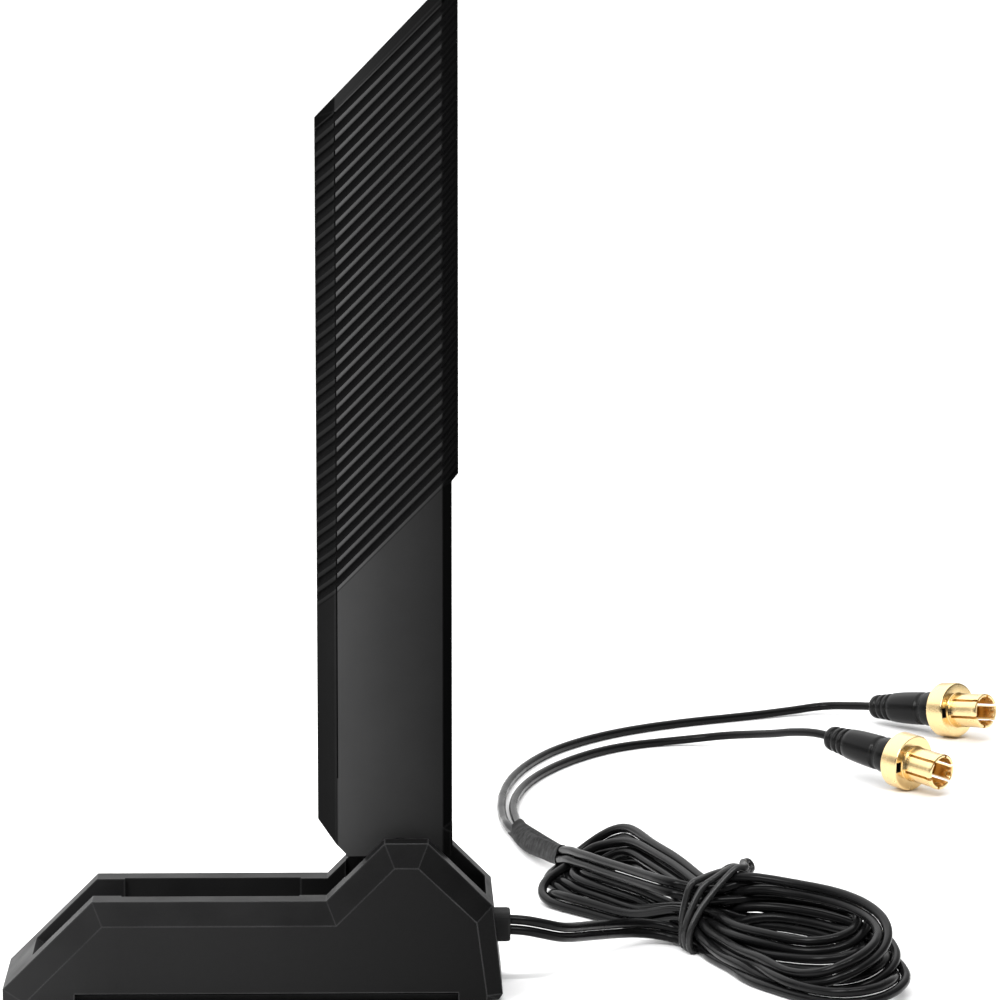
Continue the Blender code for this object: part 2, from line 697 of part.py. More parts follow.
def make_shells():
    middle, face = blade_outlines()
    heel = [
        (HEEL_X, BLADE_BOTTOM - CUT_PAST),
        (HEEL_X, HEEL_BOTTOM),
        (BLADE_LEFT, HEEL_TOP),
        (BLADE_LEFT - CUT_PAST, HEEL_TOP + CUT_PAST),
        (BLADE_LEFT - CUT_PAST, BLADE_BOTTOM - CUT_PAST),
    ]
    left, right, low, high = BOARD
    ledge = BOARD_HALF_THICKNESS + GAP
    past = 2 * BASE_HALF_DEPTH
    cutters = [
        side_plate("heel_cutter", heel, -past, past),
        side_plate("pocket_cutter", POCKET, -POCKET_HALF_DEPTH, POCKET_HALF_DEPTH),
        box("board_ledge_cutter", (left - GAP, -ledge, low - 0.4), (right + GAP, ledge, high + 0.4)),
        box(
            "mouth_cutter",
            (TONGUE[0] - GAP, -TONGUE[2] - GAP, BLADE_BOTTOM - 1.0), (TONGUE[1] + 0.7, TONGUE[2] + GAP, 30.0),
        ),
        rod("hub_cutter", (PIVOT_X, -past, PIVOT_Z), (PIVOT_X, past, PIVOT_Z), HUB_RADIUS + GAP),
    ]
    for name, side in (("blade_front_shell", -1), ("blade_rear_shell", 1)):
        shell = loft(name, [(side * GAP / 2, middle), (side * BLADE_HALF_THICKNESS, face)], "blade")
        cut(shell, *cutters)
        if side > 0:
            for index, (x, z) in enumerate(TONGUE_SCREWS, start=1):
                cut(
                    shell,
                    rod(
                        f"shell_hole_cutter_{index}", (x, 0, z), (x, CUT_PAST - 1.0, z),
                        SCREW_RADIUS + 0.5, sides=12,
                    ),
                    rod(
                        f"shell_sink_cutter_{index}", (x, KNUCKLE_SCREW_SEAT - 0.2, z), (x, CUT_PAST, z),
                        KNUCKLE_SCREW_HEAD + GAP, sides=12,
                    ),
                )
        on_pivot(shell)


def make_knuckle():
    half = BLADE_HALF_THICKNESS
    knuckle = rod(
        "hinge_knuckle", (PIVOT_X, -half, PIVOT_Z), (PIVOT_X, half, PIVOT_Z), HUB_RADIUS, "housing"
    )
    left, right, depth, top = TONGUE
    join(knuckle, box("tongue", (left, -depth, PIVOT_Z), (right, depth, top)))
    past = 2 * half
    cutters = [
        rod(
            "knuckle_bore_cutter", (PIVOT_X, -past, PIVOT_Z), (PIVOT_X, past, PIVOT_Z),
            PIN_RADIUS + GAP, sides=20,
        )
    ]
    for index, side in enumerate((-1, 1), start=1):
        y = side * HUB_COAX_SIDE
        cutters.append(
            rod(
                f"coax_channel_cutter_{index}", (HUB_COAX_X, y, PIVOT_Z - CUT_PAST),
                (HUB_COAX_X, y, top + CUT_PAST), HUB_COAX_HOLE, sides=12,
            )
        )
    for index, (x, z) in enumerate(TONGUE_SCREWS, start=1):
        cutters.append(
            rod(f"tongue_hole_cutter_{index}", (x, 0.2, z), (x, CUT_PAST, z), SCREW_RADIUS + GAP, sides=12)
        )
        screw = turned(
            f"knuckle_screw_{index}",
            [
                (0, half - 0.05),
                (KNUCKLE_SCREW_HEAD, half - 0.05),
                (KNUCKLE_SCREW_HEAD, KNUCKLE_SCREW_SEAT),
                (SCREW_RADIUS, KNUCKLE_SCREW_SEAT),
                (SCREW_RADIUS, KNUCKLE_SCREW_TIP + 0.6),
                (0, KNUCKLE_SCREW_TIP),
            ],
            "steel", sides=12,
        )
        screw.rotation_euler = (-math.pi / 2, 0, 0)
        screw.location = (x * MM, 0, z * MM)
        on_pivot(screw)
    cut(knuckle, *cutters)
    on_pivot(knuckle)


def make_board():
    left, right, low, high = BOARD
    half = BOARD_HALF_THICKNESS
    on_pivot(box("antenna_board", (left, -half, low), (right, half, high), "board"))
    middle = (RADIATOR_LEFT + RADIATOR_RIGHT) / 2
    near = -half - GAP - RADIATOR_THICKNESS
    for index, foot in enumerate(RADIATOR_LOW, start=1):
        top = foot + RADIATOR_HEIGHT
        outline = [
            (RADIATOR_LEFT, foot),
            (RADIATOR_RIGHT, foot),
            (RADIATOR_RIGHT, top),
            (middle + RADIATOR_SLIT, top),
            (middle + RADIATOR_SLIT, foot + RADIATOR_FOOT),
            (middle - RADIATOR_SLIT, foot + RADIATOR_FOOT),
            (middle - RADIATOR_SLIT, top),
            (RADIATOR_LEFT, top),
        ]
        on_pivot(side_plate(f"radiator_{index}", outline, near, -half - GAP, "copper"))
    for index, (side, top) in enumerate(zip((-1, 1), COAX_TOP), start=1):
        y = side * HUB_COAX_SIDE
        route = [
            (HUB_COAX_X, y, PIVOT_Z - 3.9), (HUB_COAX_X, y, 34.0), (HUB_COAX_X, y, 46.0),
            (HUB_COAX_X - 1.45, y, 50.5), (HUB_COAX_X - 3.75, y, top),
        ]
        on_pivot(cord(f"blade_coax_{index}", route, COAX_RADIUS, "jacket", spacing=3.5))


def on_pivot(obj):
    """Hangs a piece that turns with the blade on the empty at the hinge axis, where it stands."""
    obj.parent = PIVOT
    obj.matrix_parent_inverse = PIVOT.matrix_world.inverted()


def hank_outline():
    left, right, waist = (Vector(place) for place in (HANK_LEFT, HANK_RIGHT, HANK_WAIST))
    along = (right - left).normalized()
    across = Vector((-along.y, along.x))
    heading = math.degrees(math.atan2(along.y, along.x))
    outline = arc(left, HANK_LEFT_RADIUS, heading + 90, heading + 270, 13)
    outline.append(tuple(waist - across * HANK_WAIST_HALF))
    outline += arc(right, HANK_RIGHT_RADIUS, heading - 90, heading + 90, 13)
    outline.append(tuple(waist + across * HANK_WAIST_HALF))
    return outline, heading, across


def make_hank():
    outline, heading, across = hank_outline()
    hank = floor_plate("cable_hank", outline, 0.0, HANK_HEIGHT, "jacket")
    groove = box(
        "tie_groove_cutter",
        (-TIE_GROOVE_HALF, -2 * HANK_WAIST_HALF, -1.0),
        (TIE_GROOVE_HALF, 2 * HANK_WAIST_HALF, TIE_GROOVE_DEPTH),
    )
    groove.rotation_euler = (0, 0, math.radians(heading))
    groove.location = (HANK_WAIST[0] * MM, HANK_WAIST[1] * MM, 0)
    cut(hank, groove)
    reach = HANK_WAIST_HALF + TIE_WIRE + TIE_SLACK - TIE_CORNER
    low = TIE_WIRE + TIE_CORNER + 0.02
    high = HANK_HEIGHT + TIE_WIRE + 0.4 - TIE_CORNER
    corners = [((reach, high), 0), ((-reach, high), 90), ((-reach, low), 180), ((reach, low), 270)]
    ring = []
    for centre, start in corners:
        ring += arc(centre, TIE_CORNER, start, start + 90, 5)
    points = [
        (HANK_WAIST[0] + across.x * side, HANK_WAIST[1] + across.y * side, up) for side, up in ring
    ]
    cord("hank_tie", points, TIE_WIRE, "wire_tie", cyclic=True)


def connector_frame(place):
    """Position of the grip ring's rear face and the direction that the connector points in."""
    heading, rise = math.radians(place["heading"]), math.radians(place["rise"])
    forward = Vector(
        (math.cos(rise) * math.cos(heading), math.cos(rise) * math.sin(heading), math.sin(rise))
    )
    return Vector(place["middle"]) - forward * GRIP_LENGTH / 2, forward


def make_connector(number, place):
    rear, forward = connector_frame(place)
    frame = bpy.data.objects.new(f"connector_{number}_frame", None)
    PARTS.objects.link(frame)
    frame.matrix_world = (
        Matrix.Translation(rear * MM) @ Vector((0, 0, 1)).rotation_difference(forward).to_matrix().to_4x4()
    )
    name = f"connector_{number}"
    end = -BOOT_LENGTH
    socket = FERRULE_RADII[1] + GAP
    boot = turned(
        f"{name}_boot",
        [
            (0, -CRIMP_LENGTH - 0.6), (socket, -CRIMP_LENGTH - 0.6), (socket, -GAP),
            (4.0, -GAP), (4.0, -3.6), (3.6, -4.0), (3.6, -4.8), (3.95, -5.2), (3.75, end + 9.0),
            (3.25, end + 5.3), (2.85, end + 4.9), (2.85, end + 4.3), (3.15, end + 3.9), (3.05, end + 3.1),
            (2.65, end + 2.8), (2.65, end + 2.2), (2.9, end + 1.9), (2.7, end + 0.7), (1.9, end), (0, end),
        ],
        "rubber", sides=20,
    )
    inner, outer = FERRULE_RADII
    ferrule = turned(
        f"{name}_ferrule",
        [(outer, -0.7), (outer, -FERRULE_LENGTH), (inner, -FERRULE_LENGTH), (inner, -0.7)],
        "gold", sides=16, closed=True,
    )
    body = turned(
        f"{name}_body",
        [
            (0, SOCKET_FLOOR), (BARREL_BORE, SOCKET_FLOOR), (BARREL_BORE, BARREL_TIP),
            (BARREL_RADIUS - 0.2, BARREL_TIP), (BARREL_RADIUS, BARREL_TIP - 0.4),
            (BARREL_RADIUS, GRIP_LENGTH), (GRIP_RADIUS - 0.4, GRIP_LENGTH), (GRIP_RADIUS, GRIP_LENGTH - 0.4),
            (GRIP_RADIUS, 0.6), (GRIP_RADIUS - 0.6, 0), (CRIMP_RADIUS, 0), (CRIMP_RADIUS, -CRIMP_LENGTH),
            (0, -CRIMP_LENGTH),
        ],
        "gold",
    )
    half = SLIT_WIDTH / 2
    for index in range(FINGER_COUNT // 2):
        slit = box(
            f"{name}_slit_cutter_{index + 1}",
            (-half, -2 * BARREL_RADIUS, GRIP_LENGTH + 0.8), (half, 2 * BARREL_RADIUS, BARREL_TIP + 2.0),
        )
        slit.rotation_euler = (0, 0, math.radians(30 + index * 360 / FINGER_COUNT))
        slit.parent = frame
        cut(body, slit)
    for index, side in enumerate((-1, 1), start=1):
        notch = box(
            f"{name}_notch_cutter_{index}",
            (-NOTCH_WIDTH / 2, BARREL_RADIUS + 0.35, GRIP_LENGTH - 1.6),
            (NOTCH_WIDTH / 2, GRIP_RADIUS + 3.0, GRIP_LENGTH + 1.0),
        )
        notch.rotation_euler = (0, 0, math.radians(90 + side * 90))
        notch.parent = frame
        cut(body, notch)
    inner, outer = INSULATOR_RADII
    low = SOCKET_FLOOR + GAP
    insulator = turned(
        f"{name}_insulator",
        [(inner, INSULATOR_TOP), (outer, INSULATOR_TOP), (outer, low), (inner, low)],
        "ptfe", sides=20, closed=True,
    )
    bore, outer = CONTACT_RADII
    contact = turned(
        f"{name}_contact",
        [
            (0, 6.5), (bore, 6.5), (bore, CONTACT_TOP), (outer - 0.15, CONTACT_TOP),
            (outer, CONTACT_TOP - 0.4), (outer, low + 0.1), (0, low + 0.1),
        ],
        "gold", sides=16,
    )
    for piece in (boot, ferrule, body, insulator, contact):
        piece.parent = frame


def lead_end(place, clearance):
    """A point on a connector's axis, this far behind its boot."""
    rear, forward = connector_frame(place)
    return tuple(rear - forward * (BOOT_LENGTH + clearance))


def make_cable():
    for number, side in ((1, 1), (2, -1)):
        tail = [(x, y, z + side * COAX_SPREAD) for x, y, z in TAIL_ROUTE]
        cord(f"coax_tail_{number}", tail, COAX_RADIUS, "jacket")
    make_hank()
    cord("split_sleeve", SLEEVE_ROUTE, SLEEVE_RADIUS, "shrink")
    for number, route, place in ((1, LEAD_1_ROUTE, CONNECTOR_1), (2, LEAD_2_ROUTE, CONNECTOR_2)):
        ends = [lead_end(place, 4.5), lead_end(place, GAP)]
        cord(f"coax_lead_{number}", route + ends, COAX_RADIUS, "jacket")
        make_connector(number, place)


clear_scene()
PARTS = new_collection("folding_wifi_antenna")
CUTTERS = new_collection("cutters")
PIVOT = bpy.data.objects.new("blade_pivot", None)
PARTS.objects.link(PIVOT)
PIVOT.location = (PIVOT_X * MM, 0, PIVOT_Z * MM)
bpy.context.view_layer.update()

make_housing()
make_cover()
make_ballast()
make_hinge()
make_gland()
make_shells()
make_knuckle()
make_board()
make_cable()
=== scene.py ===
"""Folding desktop wi-fi antenna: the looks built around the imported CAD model.

Lengths in this file are in millimetres, as in the CAD source, and are scaled to metres by MM
where a mesh, a curve or a light is made.
"""

import math

import bmesh
import bpy
import numpy as np
from mathutils import Matrix, Vector


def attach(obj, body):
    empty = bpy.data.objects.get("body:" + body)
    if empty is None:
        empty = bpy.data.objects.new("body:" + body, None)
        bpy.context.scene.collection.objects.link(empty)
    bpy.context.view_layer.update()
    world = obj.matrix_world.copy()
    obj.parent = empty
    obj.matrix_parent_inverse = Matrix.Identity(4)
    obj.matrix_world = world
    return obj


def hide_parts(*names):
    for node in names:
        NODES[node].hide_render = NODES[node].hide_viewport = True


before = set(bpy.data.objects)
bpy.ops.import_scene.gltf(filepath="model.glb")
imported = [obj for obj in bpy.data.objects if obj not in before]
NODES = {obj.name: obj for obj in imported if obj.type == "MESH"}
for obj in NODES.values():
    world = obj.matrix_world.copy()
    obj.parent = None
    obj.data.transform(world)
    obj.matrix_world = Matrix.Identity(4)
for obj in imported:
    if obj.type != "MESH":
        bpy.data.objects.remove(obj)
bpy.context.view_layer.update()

MM = 0.001

# ------------------------------------------------------
# Sizes
# ------------------------------------------------------
# One coax, and how far each of the two lies from the middle of the pair
COAX_RADIUS = 0.95
PAIR_SPREAD = 0.975

# The gland in the housing's right wall: its places in x, and its half sizes in y and z
GLAND_FACE = 48.7
GLAND_HOLE_FLOOR = 47.2
GLAND_BACK = 43.9
EXIT_HEIGHT = 12.2
GLAND_HALF = (3.4, 2.85)
GLAND_HOLE_HALF = (1.9, 2.3)

# The blade upright: the edges of the blade and of its flat face in x, and its thickness in y
BLADE_LEFT = 12.2
BLADE_RIGHT = 39.0
FACE_LEFT = 15.7
FACE_RIGHT = 35.9
BLADE_HALF_THICKNESS = 6.0
SHELL_GAP = 0.15
# The flat face's slanting top edge: its height at the left, and its rise per millimetre
FACE_TOP_AT_LEFT = 167.9
TOP_SLOPE = 1.0336

# Ribs rise at 45 degrees to the right, so their heights are taken at x = 0
RIB_PITCH = 2.65
RIB_START = 61.4
RIB_END = 151.9
RIB_COUNT = 36
RIB_GROOVE_SHARE = 0.40
RIB_DEPTH = 0.42
RIB_CREST_SLOPE = 0.62
RIB_FOOT_SLOPE = 0.08
RIB_EDGE_MARGIN = 0.3
RIB_CUT_PAST = 0.25
RIB_LOWEST = 60.0
CREASE_X = (15.98, 16.22)
CREASE_DEPTH = 0.34
CREASE_FOOT = 42.0

# A connector, from the rear face of its grip ring forward along its own Z
GRIP_RADIUS = 6.2
GRIP_LENGTH = 4.6
BARREL_RADIUS = 3.95
BARREL_BORE = 3.2
BARREL_TIP = 12.9
BOOT_LENGTH = 20.5
CRIMP_RADIUS = 1.45
CRIMP_LENGTH = 9.0
SOCKET_FLOOR = 2.0
FINGER_COUNT = 6
FIRST_SLIT = 30.0
SLIT_WIDTH = 0.65
NOTCH_WIDTH = 2.3
NOTCH_DEPTH = 1.6
CONNECTORS = {
    1: {"middle": (153.9, 223.2, 6.44), "heading": -45.0, "rise": 6.5},
    2: {"middle": (139.0, 168.7, 6.42), "heading": -47.0, "rise": -4.5},
}

# ------------------------------------------------------
# Finishes, with painted light and shade
# ------------------------------------------------------
# How far in from an edge the surface is rubbed lighter and a highlight painted along it, and the
# cosines, between the rounded and the flat normal, where this begins and is full
WEAR_AND_HIGHLIGHT_REACH = 0.4
WEAR_AND_HIGHLIGHT_BEGINS = 0.9995
WEAR_AND_HIGHLIGHT_FULL = 0.985
# The part of a noise's range that its values fill
NOISE_SPAN = (0.3, 0.7)
# Painted light and shade, as levels the colour is multiplied by: along the housing, lighter to the
# left; across the blade, lighter to the left; across one rib, lit along its upper edge and shaded
# below it; and beyond the ribs, where the share is 0 to 0.5 below them and the rest above them:
# (share, level)
HOUSING_LEFT = -50.0
HOUSING_RIGHT = 50.0
ALONG_STOPS = [
    (0.0, 1.0), (0.12, 0.8), (0.25, 0.62), (0.5, 0.52), (0.7, 0.37), (0.85, 0.24), (1.0, 0.1),
]
ACROSS_STOPS = [
    (0.0, 0.20), (0.142, 0.23), (0.149, 1.0), (0.5, 0.61), (0.875, 0.33), (0.89, 0.06), (1.0, 0.05),
]
RIB_STOPS = [
    (0.0, 0.10), (0.08, 0.22), (0.18, 0.44), (0.40, 0.46), (0.50, 1.0), (0.60, 1.0), (0.70, 0.2),
]
PLAIN_STOPS = [(0.0, 0.27), (0.5, 0.27), (0.51, 0.09)]

# ------------------------------------------------------
# Camera: a long lens, looking down a little from in front
# ------------------------------------------------------
CAMERA_PLACE = (28.350, -1054.460, 276.241)
CAMERA_DOWN = 9.8
CAMERA_TURN = -1.0
camera_data = bpy.data.cameras.new("camera")
camera_data.sensor_width = 36.0
camera_data.lens = 205.2
camera_data.clip_start = 0.05
camera_data.clip_end = 20.0
camera = bpy.data.objects.new("camera", camera_data)
camera.location = Vector(CAMERA_PLACE) * MM
camera.rotation_euler = (math.radians(90.0 - CAMERA_DOWN), 0.0, math.radians(CAMERA_TURN))
bpy.context.scene.collection.objects.link(camera)
bpy.context.scene.camera = camera


# ------------------------------------------------------
# Materials
# ------------------------------------------------------
def plug_in(links, socket, term):
    """Feeds an input from another node's output, or sets it to a plain value."""
    if isinstance(term, (int, float, tuple)):
        socket.default_value = term
    else:
        links.new(term, socket)


def mapped(nodes, links, value, start, end, low=0.0, high=1.0, smooth=False):
    """A value's span from start to end, turned into one from low to high."""
    span = nodes.new("ShaderNodeMapRange")
    if smooth:
        span.interpolation_type = "SMOOTHSTEP"
    limits = {"From Min": start, "From Max": end, "To Min": low, "To Max": high}
    for socket, term in {"Value": value, **limits}.items():
        plug_in(links, span.inputs[socket], term)
    return span.outputs["Result"]


def worked_out(nodes, links, operation, *terms):
    """A maths node on its terms in their order."""
    step = nodes.new("ShaderNodeMath")
    step.operation = operation
    for socket, term in zip(step.inputs, terms):
        plug_in(links, socket, term)
    return step.outputs["Value"]


def mixed(nodes, links, factor, one, other, blend="MIX"):
    """The colour that lies between one and other by factor."""
    mix = nodes.new("ShaderNodeMix")
    mix.data_type = "RGBA"
    mix.blend_type = blend
    for socket, term in (("Factor", factor), ("A", one), ("B", other)):
        plug_in(links, mix.inputs[socket], term)
    return mix.outputs["Result"]


def noise(nodes, links, place, size, detail):
    """Noise with features of a size in mm."""
    texture = nodes.new("ShaderNodeTexNoise")
    texture.inputs["Scale"].default_value = 1.0 / MM / size
    texture.inputs["Detail"].default_value = detail
    links.new(place, texture.inputs["Vector"])
    return texture.outputs["Fac"]


def surface(
    name, colour, roughness, metallic=0.0, specular=0.5, mottle=0.12, mottle_size=6.0, grain=0.25,
    grain_height=0.012, roughness_swing=0.06, wear_and_highlight=0.0, wear_and_highlight_colour=(0.2, 0.2, 0.2), streak=None,
    shading=None,
):
    """A procedural finish: mottled colour, fine grain in bump and roughness, edges rubbed lighter
    with painted highlights.

    mottle_size and grain are the sizes of the colour patches and of the grain in millimetres, and
    grain_height is the grain's depth. streak stretches the grain along one axis. shading is a
    function that paints light and shade into the colour by place.
    """
    look = bpy.data.materials.new(name)
    look.use_nodes = True
    nodes, links = look.node_tree.nodes, look.node_tree.links
    shader = nodes["Principled BSDF"]
    shader.inputs["Metallic"].default_value = metallic
    shader.inputs["Specular IOR Level"].default_value = specular
    place = nodes.new("ShaderNodeTexCoord").outputs["Object"]
    stretch = nodes.new("ShaderNodeMapping")
    if streak:
        stretch.inputs["Scale"].default_value = streak
    links.new(place, stretch.inputs["Vector"])

    patches = noise(nodes, links, place, mottle_size, 4.0)
    low = [c * (1.0 - mottle) for c in colour]
    high = [min(1.0, c * (1.0 + mottle)) for c in colour]
    finish = mixed(nodes, links, patches, (*low, 1.0), (*high, 1.0))
    # Painted light and shade, where a shading function is given
    if shading:
        finish = shading(nodes, links, place, finish)
    # Edges rubbed lighter, which also paints highlights along them: the colour is lighter where the
    # rounded normal turns from the flat one
    if wear_and_highlight > 0.0:
        softened = nodes.new("ShaderNodeBevel")
        softened.samples = 4
        softened.inputs["Radius"].default_value = WEAR_AND_HIGHLIGHT_REACH * MM
        agree = nodes.new("ShaderNodeVectorMath")
        agree.operation = "DOT_PRODUCT"
        links.new(softened.outputs["Normal"], agree.inputs[0])
        links.new(nodes.new("ShaderNodeNewGeometry").outputs["True Normal"], agree.inputs[1])
        edge = mapped(nodes, links, agree.outputs["Value"], WEAR_AND_HIGHLIGHT_BEGINS, WEAR_AND_HIGHLIGHT_FULL, 0.0, wear_and_highlight)
        rubbed_and_highlit_edge = worked_out(nodes, links, "MULTIPLY", edge, patches)
        finish = mixed(nodes, links, rubbed_and_highlit_edge, finish, (*wear_and_highlight_colour, 1.0))
    links.new(finish, shader.inputs["Base Color"])

    smoothest = max(0.03, roughness - roughness_swing)
    dullest = min(1.0, roughness + roughness_swing)
    dull = mapped(nodes, links, patches, *NOISE_SPAN, smoothest, dullest)
    links.new(dull, shader.inputs["Roughness"])
    bump = nodes.new("ShaderNodeBump")
    bump.inputs["Strength"].default_value = 1.0
    bump.inputs["Distance"].default_value = grain_height * MM
    links.new(noise(nodes, links, stretch.outputs["Vector"], grain, 3.0), bump.inputs["Height"])
    links.new(bump.outputs["Normal"], shader.inputs["Normal"])
    return look


def grey_ramp(nodes, links, value, low, high, stops):
    """Grey levels along a value from low to high in mm, at stops of (share, level)."""
    ramp = nodes.new("ShaderNodeValToRGB")
    elements = ramp.color_ramp.elements
    while len(elements) > 1:
        elements.remove(elements[-1])
    for index, (place, level) in enumerate(stops):
        element = elements[0] if index == 0 else elements.new(place)
        element.position = place
        element.color = (level, level, level, 1.0)
    links.new(mapped(nodes, links, value, low * MM, high * MM), ramp.inputs["Fac"])
    return ramp.outputs["Color"]


def axes_of(nodes, links, place):
    split = nodes.new("ShaderNodeSeparateXYZ")
    links.new(place, split.inputs["Vector"])
    return split.outputs["X"], split.outputs["Y"], split.outputs["Z"]


def housing_painted_light(nodes, links, place, colour):
    """Painted light and shade: lighter towards the housing's low end in x, darker towards the
    other.
    """
    x = axes_of(nodes, links, place)[0]
    along = grey_ramp(nodes, links, x, HOUSING_LEFT, HOUSING_RIGHT, ALONG_STOPS)
    return mixed(nodes, links, 1.0, colour, along, "MULTIPLY")


def blade_painted_light(nodes, links, place, colour):
    """Painted light and shade: each rib lit along its upper edge, the blade lit along its left and
    shaded to its right, and darker above the ribs.
    """
    x, _, z = axes_of(nodes, links, place)
    height = worked_out(nodes, links, "SUBTRACT", z, x)
    next_rib = RIB_START + RIB_PITCH
    phase = worked_out(nodes, links, "WRAP", height, next_rib * MM, RIB_START * MM)
    middle, reach = (RIB_START + RIB_END) / 2 * MM, (RIB_END - RIB_START) / 2 * MM
    ribbed = worked_out(nodes, links, "COMPARE", height, middle, reach)
    across = grey_ramp(nodes, links, x, BLADE_LEFT, BLADE_RIGHT, ACROSS_STOPS)
    rib = grey_ramp(nodes, links, phase, RIB_START, next_rib, RIB_STOPS)
    beyond = grey_ramp(nodes, links, height, RIB_START, RIB_END, PLAIN_STOPS)
    level = mixed(nodes, links, ribbed, beyond, rib)
    shaded = mixed(nodes, links, 1.0, colour, across, "MULTIPLY")
    return mixed(nodes, links, 1.0, shaded, level, "MULTIPLY")


LOOKS = {
    # The housing's colour carries painted light and shade along it, and its edge lightening paints
    # highlights along the creases
    "housing": surface(
        "satin_black_housing", (0.019, 0.019, 0.0193), 0.42, specular=0.08, grain=0.22,
        mottle=0.16, mottle_size=9.0, wear_and_highlight=1.0, wear_and_highlight_colour=(0.065, 0.065, 0.066),
        shading=housing_painted_light,
    ),
    # The blade's colour carries painted light and shade across it and along each rib
    "blade": surface(
        "satin_black_blade", (0.150, 0.150, 0.151), 0.55, specular=0.0, grain=0.2,
        grain_height=0.010, mottle=0.14, mottle_size=12.0, wear_and_highlight=0.15,
        wear_and_highlight_colour=(0.06, 0.06, 0.061), shading=blade_painted_light,
    ),
    # Painted shade: the faces cut by the rib grooves and the crease line are coloured near black
    # for the shade in them
    "groove": surface(
        "rib_groove_painted_shade", (0.005, 0.005, 0.0051), 0.75, specular=0.01, grain=0.15,
        grain_height=0.02, mottle=0.25, mottle_size=3.0,
    ),
    # Black rubber, also used as painted shade on the walls of the connector pockets
    "rubber": surface(
        "black_rubber_and_pocket_shade", (0.007, 0.007, 0.0072), 0.6, specular=0.10, grain=0.12, grain_height=0.02,
        mottle=0.2, mottle_size=4.0, wear_and_highlight=0.2, wear_and_highlight_colour=(0.07, 0.07, 0.07),
    ),
    "boot": surface(
        "moulded_black_boot", (0.003, 0.003, 0.0031), 0.2, specular=0.13, grain=0.18,
        grain_height=0.014, mottle=0.18, mottle_size=3.0, wear_and_highlight=0.4, wear_and_highlight_colour=(0.04, 0.04, 0.04),
    ),
    "jacket": surface(
        "black_coax_jacket", (0.0052, 0.0052, 0.0054), 0.2, specular=0.10, grain=0.16,
        grain_height=0.006, mottle=0.22, mottle_size=5.0, roughness_swing=0.09,
    ),
    "tie": surface(
        "black_tie_wire", (0.016, 0.016, 0.0162), 0.27, specular=0.3, grain=0.14,
        grain_height=0.006, mottle=0.2, mottle_size=3.0, roughness_swing=0.08,
    ),
    "shrink": surface(
        "grey_heat_shrink", (0.0058, 0.0058, 0.006), 0.5, specular=0.05, grain=0.3,
        grain_height=0.03, mottle=0.3, mottle_size=1.6, roughness_swing=0.1,
    ),
    "gold": surface(
        "gold_plating", (0.87, 0.65, 0.33), 0.24, metallic=1.0, grain=0.12, grain_height=0.004,
        mottle=0.07, mottle_size=2.5, wear_and_highlight=0.25, wear_and_highlight_colour=(0.95, 0.78, 0.45),
        roughness_swing=0.07, streak=(1.0, 1.0, 0.25),
    ),
    "steel": surface(
        "zinc_plated_steel", (0.52, 0.53, 0.54), 0.34, metallic=1.0, grain=0.2, grain_height=0.006,
        mottle_size=3.0, wear_and_highlight=0.2, wear_and_highlight_colour=(0.75, 0.75, 0.76), roughness_swing=0.09,
    ),
    "magnet": surface(
        "nickel_plated_magnet", (0.62, 0.61, 0.58), 0.22, metallic=1.0, grain=0.3,
        grain_height=0.004, mottle=0.08, mottle_size=4.0,
    ),
    "copper": surface(
        "tinned_copper", (0.72, 0.45, 0.30), 0.36, metallic=1.0, grain=0.2, grain_height=0.006,
        mottle=0.15, mottle_size=4.0, roughness_swing=0.1,
    ),
    "board": surface(
        "green_circuit_board", (0.03, 0.13, 0.06), 0.4, grain=0.4, grain_height=0.01,
        mottle=0.15, mottle_size=2.0,
    ),
    "ptfe": surface(
        "amber_insulator", (0.78, 0.45, 0.13), 0.42, grain=0.2, grain_height=0.008,
        mottle=0.14, mottle_size=2.0,
    ),
}


# ------------------------------------------------------
# Mesh helpers
# ------------------------------------------------------
# A copy of a CAD node: corners closer than WELD are one, edges under FLAT_BELOW degrees are
# dissolved, and edges over ROUND_ABOVE degrees are rounded
WELD = 0.002
FLAT_BELOW = 0.6
ROUND_ABOVE = 11.0


def new_piece(name, data, look=None):
    piece = bpy.data.objects.new(name, data)
    bpy.context.scene.collection.objects.link(piece)
    if look:
        piece.data.materials.append(LOOKS[look])
    return piece


def mesh_piece(name, points, faces, look=None, smooth_below=35.0):
    """A mesh from points in mm and faces, with soft shading up to an angle in degrees."""
    mesh = bpy.data.meshes.new(name)
    mesh.from_pydata([Vector(p) * MM for p in points], [], faces)
    shape = bmesh.new()
    shape.from_mesh(mesh)
    bmesh.ops.recalc_face_normals(shape, faces=shape.faces)
    shape.to_mesh(mesh)
    shape.free()
    mesh.update()
    mesh.shade_smooth()
    mesh.set_sharp_from_angle(angle=math.radians(smooth_below))
    return new_piece(name, mesh, look)


def ring_faces(rings, sides, closed):
    """Faces between rings of points, each ring sides long; closed joins the last to the first."""
    faces = []
    steps = rings if closed else rings - 1
    for ring in range(steps):
        after = (ring + 1) % rings
        for side in range(sides):
            beside = (side + 1) % sides
            faces.append((
                ring * sides + side, ring * sides + beside, after * sides + beside,
                after * sides + side,
            ))
    return faces


def turned(name, profile, place, look, sides=56, smooth_below=35.0):
    """A closed profile of (radius, height) turned round the local Z of place."""
    points = []
    for radius, height in profile:
        for side in range(sides):
            angle = 2 * math.pi * side / sides
            spot = Vector((radius * math.cos(angle), radius * math.sin(angle), height))
            points.append(place @ spot)
    return mesh_piece(name, points, ring_faces(len(profile), sides, True), look, smooth_below)


